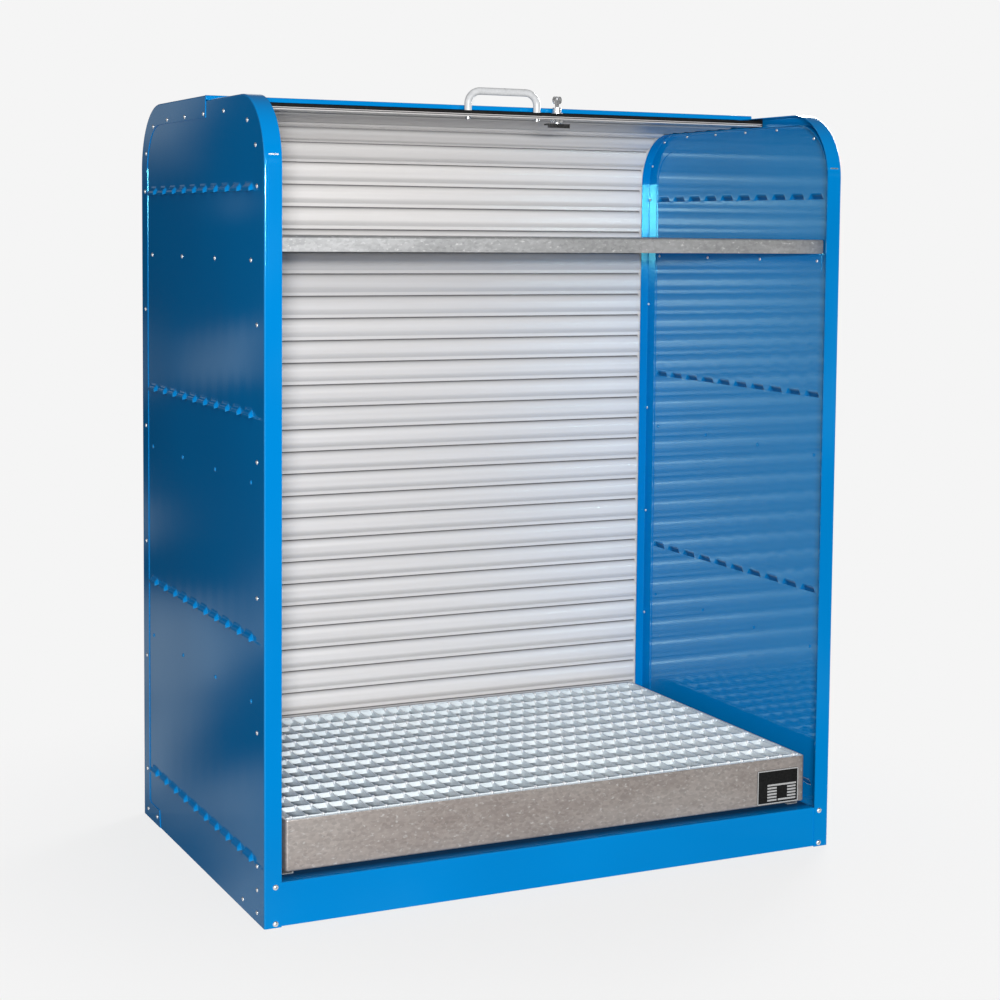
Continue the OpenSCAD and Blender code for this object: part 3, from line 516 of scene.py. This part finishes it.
tray_zinc = galvanised_finish("tray_zinc", 0.6, (0.375, 0.325, 0.30), (0.495, 0.44, 0.41),
                              (0.64, 0.585, 0.55))
tray_pan = pan(tray_half_x, tray_half_y, (0, tray_y, 0), tray_corner, tray_rings)
piece("tray_sheet", [tray_pan], tray_zinc, "tray", "galvanised", "tray_floor", "tray_long_walls",
      "tray_end_walls")
dress(galvanised, "tray_skids", "grating_supports")

# Type plate. A black plastic plate is stuck to the right end of the tray's front. It has a thin silver border
# and blank pale fields, which stand a little proud of it.
black_plastic = noise_finish("black_plastic", 240, [(0.3, 0.006), (0.7, 0.014)], [(0.3, 0.36), (0.7, 0.5)],
                             depth=0.00005, Specular_IOR_Level=0.12)
plate_print = noise_finish("plate_print", 420, [(0.35, 0.36), (0.6, 0.50)], [(0.3, 0.35), (0.7, 0.5)])
plate_x, plate_z, plate_half_x, plate_half_z = 532, 139.5, 53, 38
plate_corner, plate_thick = 3, 0.8
print_foot, print_top = 0.7, 0.95
border_outer, border_inner = 0.5, 2.9


def on_tray_front(half_x, half_z, x, z, corner, rings):
    """A small slab laid against the tray's front wall: a pan tilted up to face forwards."""
    points, quads = pan(half_x, half_z, (0, 0, 0), corner, rings)
    return np.column_stack([points[:, 0] + x, tray_front - points[:, 2], points[:, 1] + z]), quads


def slab(half, top, foot=0.0):
    """Rings of a thin slab with softened edges that closes over its middle."""
    return [(half, foot), (0, foot), (0, top - 0.2), (0.2, top), (half, top)]


plate = on_tray_front(plate_half_x, plate_half_z, plate_x, plate_z, plate_corner,
                      slab(plate_half_z, plate_thick))
piece("plate_blank", [plate], black_plastic, "tray", "black_plastic", "type_plate")
border_rings = [(border_outer, print_foot), (border_outer, print_top), (border_inner, print_top),
                (border_inner, print_foot), (border_outer, print_foot)]
border = on_tray_front(plate_half_x, plate_half_z, plate_x, plate_z, plate_corner, border_rings)
field_half_z, field_corner = 2.0, 0.4
field_z = -2.8 - 6.6 * np.arange(5)
top_field, foot_field = (10, 37, 3.8), (23, 23, field_z[4])
left_fields, right_fields = [(-15, 12, z) for z in field_z], [(35, 11, z) for z in field_z[:4]]
field_rings = slab(field_half_z, print_top, print_foot)
fields = [on_tray_front(half_x, field_half_z, plate_x + x, plate_z + z, field_corner, field_rings)
          for x, half_x, z in (top_field, *left_fields, *right_fields, foot_field)]
piece("plate_fields", [border, *fields], plate_print, "tray", "black_plastic")

# Floor grating. Galvanised bearing bars run from front to back and thinner cross bars are pressed through
# them; each crossing is upset into a small knuckle, painted near white as a painted highlight.
# The grating's zinc is lighter than the shelf's: partly its own tone, partly painted sheen in place of gloss.
grating_zinc_and_sheen = galvanised_finish("grating_zinc_and_sheen", 0.12, (0.72, 0.80, 0.84), (0.83, 0.90, 0.93),
                                 (0.91, 0.955, 0.975), 0.9)
dress(grating_zinc_and_sheen, "floor_grating")
grating_top, bar_pitch = box_of("floor_grating")[1][2], 33.3
knuckle_rings = [(3.2, 6.0, -4.5), (3.8, 6.8, -0.2), (2.8, 5.0, 2.0), (0.0, 0.0, 2.8)]


def copies(points, quads):
    """Many copies of one shape as one: each copy's points, and its quads counted on from the copy before."""
    starts = np.arange(len(points))[:, None, None] * points.shape[1]
    return points.reshape(-1, 3), (starts + quads).reshape(-1, 4)


def knuckles():
    """A bead at each crossing: rings of eight points, each of a width, length and height over the grating,
    that narrow to a top and are longer along the bearing bar. Cross bars stand two pitches apart."""
    x = bar_pitch * (np.arange(36) - 17.5)
    y = tray_y + 2 * bar_pitch * (np.arange(12) - 5.5)
    turn = np.arange(8) * np.pi / 4
    wide, long, rise = np.array(knuckle_rings).T[..., None]
    rings = [wide * np.cos(turn), long * np.sin(turn), grating_top + rise + 0 * turn]
    crossing = np.stack(np.meshgrid(x, y, indexing="ij"), -1).reshape(-1, 1, 2)
    points = np.tile(np.stack(rings, -1).reshape(-1, 3), (len(crossing), 1, 1))
    points[..., :2] += crossing
    return copies(points, ring_quads(len(knuckle_rings), 8))


# The knuckles' zinc is near white: a painted highlight on each crossing.
knuckle_highlight_zinc = galvanised_finish("knuckle_highlight_zinc", 0.1, (0.88, 0.91, 0.93), (0.95, 0.97, 0.98), (1.0, 1.0, 1.0))
piece("grating_knuckles", [knuckles()], knuckle_highlight_zinc, "grating", "galvanised", smooth=60)

# Curtain. Extruded aluminium slats hook into each other: a tongue at one edge, a crowned body, a lip that
# hangs over the next tongue, and blades at both ends that run in the tracks.
# The dark tone is painted shade: in the slats' hooks, on their falling faces, and in the end bar's groove.
aluminium = noise_finish("aluminium", 70, [(0.3, (0.80, 0.775, 0.755)), (0.7, (0.86, 0.835, 0.815))],
                         [(0.3, 0.30), (0.7, 0.35)], depth=0.000003, stretch=(0.02, 1, 1), detail=4,
                         dark=(0.16, 0.155, 0.16), Metallic=0.12)
slat_low, slat_high = box_of("top_slats")
slat_pitch, body_end, blade_end = 52.0, 625, slat_high[0]
blade_half, blade_length = 2.5, 48.7
hook_r = (slat_low[2] + slat_high[2]) / 2 - corner_z


def slat_section():
    """One slat along its pitch: a thin tongue behind the slat before it, a body that rises on a parabola to a
    level face and falls off on another, and a lip over the next tongue. Its other side is a plain crown. The
    third column is painted shade, strong in the hook, fading out on the body, greyer again on the falling
    face and faint above the lip."""
    face, rise_height, drop_height = 8, 6.6, 3.4
    rise, drop = np.linspace(9.8, 29, 18), np.linspace(38, 50.5, 11)
    climb, fall = (rise[-1] - rise) / np.ptp(rise), (drop - drop[0]) / np.ptp(drop)
    inside = np.concatenate([
        [(-2, -5.0), (9.3, -5.0), (9.5, 0.2)], np.column_stack([rise, face - rise_height * climb ** 2]),
        np.column_stack([drop, face - drop_height * fall ** 2]),
        [(51.6, 4.6), (53.0, 4.6), (58.7, 4.5), (59.5, 3.7)]])
    along = inside[:, 0]
    outside = np.interp(along, [-2, 30.35, 45, 49.4, 49.5, 60], [5.5, 5.5, 4.8, 4.0, -1.6, -1.6])
    shade = np.interp(along, [9.5, 9.8, 11.5, 13.5, 16, 19, 38, 41, 44, 50.5, 51.6, 53, 58.7, 59.5],
                      [0.9, 0.7, 0.45, 0.22, 0.08, 0, 0, 0.1, 0.2, 0.27, 0.22, 0.04, 0.04, 0.4])
    return np.concatenate([np.column_stack([along, -inside[:, 1], shade]),
                           np.column_stack([along, outside, shade])[::-1]])


def hook_line(first, last):
    """Where the slats hook together: a pitch apart along the top, on chords round the rear bend from hook 0
    to hook 3, and from hook 4 on a pitch apart down the back."""
    k = np.arange(first, last + 1)
    step = 2 * np.arcsin(slat_pitch / 2 / hook_r)
    back_y, top_z = corner_y + hook_r, corner_z + hook_r
    last_y, last_z = corner_y + hook_r * np.sin(3 * step), corner_z + hook_r * np.cos(3 * step)
    back_z = last_z - np.sqrt(slat_pitch ** 2 - (back_y - last_y) ** 2)
    turn = step * np.clip(k, 0, 3)
    top = np.column_stack([corner_y + slat_pitch * k, np.full(len(k), top_z)])
    bent = np.column_stack([corner_y + hook_r * np.sin(turn), corner_z + hook_r * np.cos(turn)])
    back = np.column_stack([np.full(len(k), back_y), back_z - slat_pitch * (k - 4)])
    return np.where(k[:, None] <= 0, top, np.where(k[:, None] <= 3, bent, back))


def slats(first, last):
    """Slats first to last as shapes, and their painted shade: the body's section and the blade's, which has a
    round nose, turned to lie from one hook to the next."""
    body = slat_section()
    nose = -blade_half * np.cos(np.linspace(0, np.pi / 2, 6))
    rounded = np.column_stack([nose, np.sqrt(blade_half ** 2 - nose ** 2), 0 * nose])
    half_blade = np.concatenate([rounded, [(blade_length, blade_half, 0)]])
    blade = np.concatenate([half_blade, (half_blade * [1, -1, 1])[::-1]])
    blade_start = body_end - 0.5
    line = hook_line(first, last + 1)
    shapes, shade = [], []
    for here, ahead in zip(line[:-1], line[1:]):
        way = (ahead - here) / np.linalg.norm(ahead - here)
        turned = np.array([way, [-way[1], way[0]]])
        for section, x0, x1 in ((body, -body_end, body_end), (blade, -blade_end, -blade_start),
                                (blade, blade_start, blade_end)):
            shapes.append(along_x(here + section[:, :2] @ turned, x0, x1))
            shade.append(np.tile(section[:, 2], 2))
    return shapes, np.concatenate(shade)


curtain = [("curtain_top", "shutter_front", "top_slats", -6, -1),
           ("curtain_back", "rear_curtain", "rear_slats", 6, 29)]
curtain += [(f"curtain_bend_{k + 1}", f"bend_slat_{k + 1}_link", f"bend_slat_{k + 1}", k, k)
            for k in range(6)]
for part, body, node, first, last in curtain:
    shapes, shade = slats(first, last)
    piece(part, shapes, aluminium, body, "aluminium", node, smooth=30, shade=shade)

# End bar. The curtain's last profile is a flat aluminium box with a narrow groove along its front. A black
# rubber seal is pressed into its upper front edge, and a plastic glide sits in each end.
bar_low, bar_high = box_of("end_bar")
bar_place, bar_end, bar_top = bar_low[1:], bar_high[0], bar_high[2]
bar_round, seal_round, seal_end = 0.45, 0.4, bar_end - 0.5
bar_web = bar_place + [(58, 8.25), (95.6, 8.25), (95.6, 4.0), (58, 4.0)]
bar_corners = [(58, 0), (2, 0), (0, 0.85), (0, 2.15), (5.5, 2.15), (5.5, 4.65), (0, 4.65), (0, 5.95),
               (8, 5.95), (8, 11.55), (6, 11.55), (6, 13), (58, 13)]
bar_outline = bar_place + round_line(bar_corners, bar_round, closed=True)
groove_middle, groove_half = bar_place + [4.5, 3.45], (2, 1.5)


def extrusion(loop, x0, x1):
    """A closed outline in depth and height carried from x0 to x1, with a flat cap at each end."""
    count = len(loop)
    points = np.empty((2, count, 3))
    points[..., 0] = np.array([[x0], [x1]])
    points[..., 1:] = loop
    cap = [list(range(count))]
    return [(points.reshape(-1, 3), ring_quads(2, count)), (points[0], cap), (points[1], cap)]


bar = extrusion(bar_outline, -bar_end, bar_end) + extrusion(bar_web, -post_inner, post_inner)
# Points in the groove carry painted shade, so the groove shows as a dark line.
bar_points = np.concatenate([points for points, _ in bar])
groove_painted_shade = (np.abs(bar_points[:, 1:] - groove_middle) < groove_half).all(1)
piece("end_bar_profile", bar, aluminium, "shutter_front", "aluminium", "end_bar", smooth=30,
      shade=groove_painted_shade.astype(float))
rubber = noise_finish("rubber", 160, [(0.35, 0.006), (0.7, 0.016)], [(0.35, 0.65), (0.7, 0.85)], depth=0.0001,
                      detail=3, Specular_IOR_Level=0.12)
seal_corners = [(7.8, 6.05), (-2.6, 6.05), (-4, 7.45), (-4, 11.15), (-2.6, 12.55), (5.4, 12.55), (5.4, 11.45),
                (7.8, 11.45)]
seal = bar_place + round_line(seal_corners, seal_round, closed=True)
piece("seal_strip", extrusion(seal, -seal_end, seal_end), rubber, "shutter_front", "rubber", "bar_seal")
dress(black_plastic, "bar_glides")

# Handle. A bow of bent round tube with a light grey coat stands on the end bar and is screwed to it from
# below. The shutter is pulled and pushed by it.
grey_coat = noise_finish("light_grey_coat", 150, [(0.3, (0.58, 0.59, 0.60)), (0.7, (0.66, 0.67, 0.68))],
                         [(0.3, 0.26), (0.7, 0.36)], depth=0.00002)
tube_r, tube_y, tube_bend = 8, -91, 28
handle_half, handle_rise = 82, 43


def handle_tube(facets=24):
    """A circle carried up one leg, round the two bends and down the other leg."""
    bend = np.linspace(0, np.pi / 2, 13)
    bend_middle = [tube_bend - handle_half, bar_top + handle_rise - tube_bend]
    left = bend_middle + tube_bend * np.column_stack([-np.cos(bend), np.sin(bend)])
    foot = np.array([[-handle_half, bar_top + 0.05]])
    half_path = np.concatenate([foot, left])
    path = np.concatenate([half_path, (half_path * [-1, 1])[::-1]])
    along = np.gradient(path, axis=0)
    along /= np.linalg.norm(along, axis=1)[:, None]
    out = np.column_stack([-along[:, 1], along[:, 0]])
    turn = np.arange(facets) * 2 * np.pi / facets
    points = np.empty((len(path), facets, 3))
    points[..., [0, 2]] = path[:, None] + tube_r * np.cos(turn)[None, :, None] * out[:, None]
    points[..., 1] = tube_y + tube_r * np.sin(turn)
    cap = [list(range(facets))]
    return [(points.reshape(-1, 3), ring_quads(len(path), facets)), (points[0], cap), (points[-1], cap)]


piece("bow_handle", handle_tube(), grey_coat, "shutter_front", "light_grey_coat", "handle")

# Lock. A zinc-plated cam lock beside the handle: the barrel goes through the bar and is held by a nut below,
# the key stands in its plug, and a dark cam under the bar catches the frame.
dress(zinc, "handle_screws", "lock_barrel", "lock_nut", "lock_key", "cam_screw")
brass = noise_finish("plug_brass", 300, [(0.3, (0.50, 0.40, 0.20)), (0.7, (0.66, 0.55, 0.30))],
                     [(0.3, 0.25), (0.7, 0.4)], stretch=(1, 1, 0.2), Metallic=1.0)
dress(brass, "lock_plug")
dark_steel = noise_finish("dark_steel", 220, [(0.3, 0.02), (0.7, 0.06)], [(0.3, 0.35), (0.7, 0.5)], detail=3,
                          Metallic=0.6)
dress(dark_steel, "lock_cam")

# Rivets, plugs and bolts. Blind rivets with domed zinc heads hold the panels, the cover and the rails;
# painted ones close the spare shelf holes, and round-headed bolts hold the base.
rivet_pitch, rivet_foot, foot_row = 262, 112, 20
panel_inset, cover_inset = 43, 27
post_y, top_row = panel_inset - half_depth, panel_top - cover_inset
bolt = [(3.5, 0), (3.4, 1.6), (3.0, 3.2), (2.0, 4.9), (0.8, 5.9), (0, 6.0), (0, 2.5), (-3, 2.5), (-3, 0)]


def lathed(places, axis, profile, facets=14):
    """A profile of distance and radius turned about an axis through each place, all places at once."""
    axis = np.array(axis, float)
    up = np.array([0, 0, 1.0])
    turn = np.arange(facets) * 2 * np.pi / facets
    along, radius = np.array(profile, float).T
    ring = np.cos(turn)[:, None] * np.cross(axis, up) + np.sin(turn)[:, None] * up
    one = along[:, None, None] * axis + radius[:, None, None] * ring
    points = np.asarray(places, float)[:, None, :] + one.reshape(1, -1, 3)
    return copies(points, ring_quads(len(along), facets))


def rivet(grip):
    """A blind rivet's profile: a domed head with a dimple, a shank through the sheets and a bulged tail."""
    return [(1.3, 0), (1.4, 1.0), (1.9, 1.5), (1.75, 2.6), (1.2, 3.7), (0.5, 4.4), (0, 4.5), (0, 2.0),
            (-grip, 2.0), (-grip - 0.2, 3.2), (-grip - 1.0, 3.5), (-grip - 2.2, 2.9), (-grip - 3, 1.5),
            (-grip - 3, 0)]


def rivet_line(way, inset, *more):
    """Places in depth and height along a side panel's front or rear edge: six a pitch apart up the post, two
    round the corner, and any more given."""
    turn = np.radians([24, 66])
    arc = corner_r - inset
    rows = rivet_foot + rivet_pitch * np.arange(6)
    post = np.column_stack([np.full(6, way * (half_depth - inset)), rows])
    bend = np.column_stack([way * (corner_y + arc * np.cos(turn)), corner_z + arc * np.sin(turn)])
    return np.concatenate([post, bend, more])


def on_side(side, yz, x):
    """Places on a side panel's outer face."""
    return np.column_stack([np.full(len(yz), side * x), yz])


panel_yz = rivet_line(-1, panel_inset, (-173, top_row), (post_y, foot_row), (post_y, 65), (-290, foot_row))
cover_yz = rivet_line(1, cover_inset, (-43, top_row), (87, top_row), (217, top_row), (387, foot_row),
                      (315, foot_row))
hole_y = np.linspace(-341, 341, 4)
shelf_yz, *spare_yz = [np.column_stack([hole_y, np.full(4, z)]) for z in (1282, 855, 428)]
for side, name in sides:
    for node, yz, x, grip in (("panel_rivets", panel_yz, panel_x, 2 * sheet),
                              ("cover_rivets", cover_yz, cover_high[0], 3 * sheet),
                              ("shelf_rail_rivets", shelf_yz, panel_x, 2 * sheet)):
        heads = lathed(on_side(side, yz, x), (side, 0, 0), rivet(grip))
        piece(f"{node}_{name}_heads", [heads], zinc, "cabinet", "zinc", f"{node}_{name}", smooth=40)
plug_yz = np.concatenate(spare_yz)
plugs = [lathed(on_side(side, plug_yz, panel_x), (side, 0, 0), rivet(sheet)) for side, _ in sides]
piece("painted_plugs", plugs, blue_paint, "cabinet", "blue_paint", "spare_hole_plugs", smooth=40)
back_x, back_rows = 632.5, 177.5 + rivet_pitch * np.arange(5)
back_places = [(x, cover_back, z) for x in (-back_x, back_x) for z in back_rows]
piece("back_rivet_heads", [lathed(back_places, (0, 1, 0), rivet(2 * sheet))], zinc, "cabinet", "zinc",
      "back_rivets", smooth=40)
bolt_x, bolt_rows = 627.25, (8, 80)
bolt_places = [(x, -half_depth, z) for x in (-bolt_x, bolt_x) for z in bolt_rows]
piece("base_bolt_heads", [lathed(bolt_places, (0, -1, 0), bolt)], zinc, "cabinet", "zinc", "base_bolts",
      smooth=40)

# Studio. A round pale floor takes the cabinet's soft shadow. It thins out into the pale room around it, so
# that its rim doesn't show. Sizes are in metres from here on.
floor_r, floor_z, floor_points = 1.8, -0.0005, 96
turn = np.arange(floor_points) * 2 * np.pi / floor_points
rim = np.column_stack([floor_r * np.cos(turn), floor_r * np.sin(turn), np.full(floor_points, floor_z)])
floor_mesh = bpy.data.meshes.new("floor")
floor_mesh.from_pydata(rim.tolist(), [], [list(range(floor_points))])
floor = bpy.data.objects.new("floor", floor_mesh)
bpy.context.scene.collection.objects.link(floor)


def span(tree, source, low, high, start, end):
    """Maps a value from one range to another, smoothly and held at both ends."""
    node = tree.nodes.new("ShaderNodeMapRange")
    node.interpolation_type = "SMOOTHSTEP"
    for socket, value in (("From Min", low), ("From Max", high), ("To Min", start), ("To Max", end)):
        node.inputs[socket].default_value = value
    tree.links.new(source, node.inputs["Value"])
    return node.outputs["Result"]


floor_finish, tree, shader = finish_of("floor", Roughness=0.9, Specular_IOR_Level=0.0,
                                       Base_Color=(0.85, 0.85, 0.85, 1))
distance = tree.nodes.new("ShaderNodeVectorMath")
distance.operation = "LENGTH"
tree.links.new(tree.nodes.new("ShaderNodeTexCoord").outputs["Object"], distance.inputs[0])
thin = tree.nodes.new("ShaderNodeMixShader")
tree.links.new(span(tree, distance.outputs["Value"], 0.6, 1.5, 0.85, 1.0), thin.inputs["Fac"])
tree.links.new(shader.outputs["BSDF"], thin.inputs[1])
tree.links.new(tree.nodes.new("ShaderNodeBsdfTransparent").outputs["BSDF"], thin.inputs[2])
tree.links.new(thin.outputs["Shader"], tree.nodes["Material Output"].inputs["Surface"])
floor_mesh.materials.append(floor_finish)

# Light. The room is pale to the camera, while a gloss sees it with a dark ceiling and two dark ends that hold
# paler patches, which keeps the paint deep. One lamp stands by the camera with a narrow strip beside it, a
# broad one fills from the front, and one behind at the right lights the back.
pale, ends_way = 0.913, (-0.366, 0.93, 0)
room = bpy.data.worlds.new("room")
bpy.context.scene.world = room
room.use_nodes = True
tree = room.node_tree
tree.nodes["Background"].inputs["Color"].default_value = (1, 1, 1, 1)
toward = tree.nodes.new("ShaderNodeTexCoord").outputs["Generated"]
heights = tree.nodes.new("ShaderNodeSeparateXYZ")
tree.links.new(toward, heights.inputs[0])
to_ends = tree.nodes.new("ShaderNodeVectorMath")
to_ends.operation = "DOT_PRODUCT"
to_ends.inputs[1].default_value = ends_way
tree.links.new(toward, to_ends.inputs[0])
patches = tree.nodes.new("ShaderNodeTexNoise")
patches.inputs["Scale"].default_value = 17.0
patches.inputs["Detail"].default_value = 1.0
tree.links.new(toward, patches.inputs["Vector"])


def together(tree, kind, first, second=None):
    """Joins two values, or changes one, by the given kind of arithmetic."""
    node = tree.nodes.new("ShaderNodeMath")
    node.operation = kind
    tree.links.new(first, node.inputs[0])
    if second is not None:
        tree.links.new(second, node.inputs[1])
    return node.outputs[0]


def either(tree, which, no, yes):
    """One value or another, each a link or a constant, as a share between 0 and 1 says."""
    node = tree.nodes.new("ShaderNodeMix")
    tree.links.new(which, node.inputs["Factor"])
    for socket, value in (("A", no), ("B", yes)):
        if isinstance(value, float):
            node.inputs[socket].default_value = value
        else:
            tree.links.new(value, node.inputs[socket])
    return node.outputs["Result"]


light_path = tree.nodes.new("ShaderNodeLightPath").outputs
at_ends = span(tree, together(tree, "ABSOLUTE", to_ends.outputs["Value"]), 0.78, 0.90, 0.0, 1.0)
dark_ends = either(tree, at_ends, pale, span(tree, patches.outputs["Fac"], 0.48, 0.70, 0.01, 0.45))
dark_ceiling = span(tree, heights.outputs["Z"], 0.2, 0.5, 1.0, 0.12)
mirrored = together(tree, "MULTIPLY", dark_ends, dark_ceiling)
soft = span(tree, heights.outputs["Z"], 0.0, 1.0, 0.06, 0.35)
in_gloss = together(tree, "MAXIMUM", light_path["Is Glossy Ray"], light_path["Is Transmission Ray"])
seen = either(tree, light_path["Is Camera Ray"], either(tree, in_gloss, soft, mirrored), pale)
tree.links.new(seen, tree.nodes["Background"].inputs["Strength"])


def softbox(name, place, aim, wide, high, watts):
    """A rectangular lamp at a place that faces a point."""
    lamp = bpy.data.lights.new(name, "AREA")
    lamp.shape = "RECTANGLE"
    lamp.size, lamp.size_y = wide, high
    lamp.energy = watts
    obj = bpy.data.objects.new(name, lamp)
    back = np.array(place, float) - np.array(aim, float)
    back /= np.linalg.norm(back)
    right = np.cross([0, 0, 1], back)
    right /= np.linalg.norm(right)
    turned = np.column_stack([right, np.cross(back, right), back])
    obj.matrix_world = Matrix.Translation(place) @ Matrix(turned.tolist()).to_4x4()
    obj.visible_camera = False
    bpy.context.scene.collection.objects.link(obj)


softbox("lamp_by_camera", (-2.2, -5.6, 1.55), (0, 0, 0.8), 0.8, 0.12, 200)
softbox("lamp_fill", (0.1, -6.0, 2.2), (0, 0, 0.9), 2.0, 0.8, 66)
softbox("lamp_back", (3.6, 2.8, 2.6), (0, 0, 0.8), 1.6, 1.6, 200)
softbox("lamp_strip", (-2.148, -4.464, 1.40), (0.63, 0.4, 1.38), 0.24, 0.38, 82)

# Camera. It stands at the photograph's place and looks slightly down with the photograph's small roll. Its
# vertical shift is smaller than the photograph's, so that the views from other sides are not cut.
camera_place = (-1.8619, -3.9639, 1.3434)
yaw, pitch, roll = np.radians([25.667, -4.323, 0.518])
ahead = np.array([np.sin(yaw) * np.cos(pitch), np.cos(yaw) * np.cos(pitch), np.sin(pitch)])
level_right = np.array([np.cos(yaw), -np.sin(yaw), 0])
upright = np.cross(level_right, ahead)
right = np.cos(roll) * level_right + np.sin(roll) * upright
above = np.cos(roll) * upright - np.sin(roll) * level_right
lens = bpy.data.cameras.new("camera")
lens.lens = 71.467
lens.sensor_width = 36
lens.shift_y = -0.12
camera = bpy.data.objects.new("camera", lens)
axes = Matrix(np.column_stack([right, above, -ahead]).tolist()).to_4x4()
camera.matrix_world = Matrix.Translation(camera_place) @ axes
bpy.context.scene.collection.objects.link(camera)
bpy.context.scene.camera = camera
bpy.context.scene.view_settings.view_transform = "Standard"
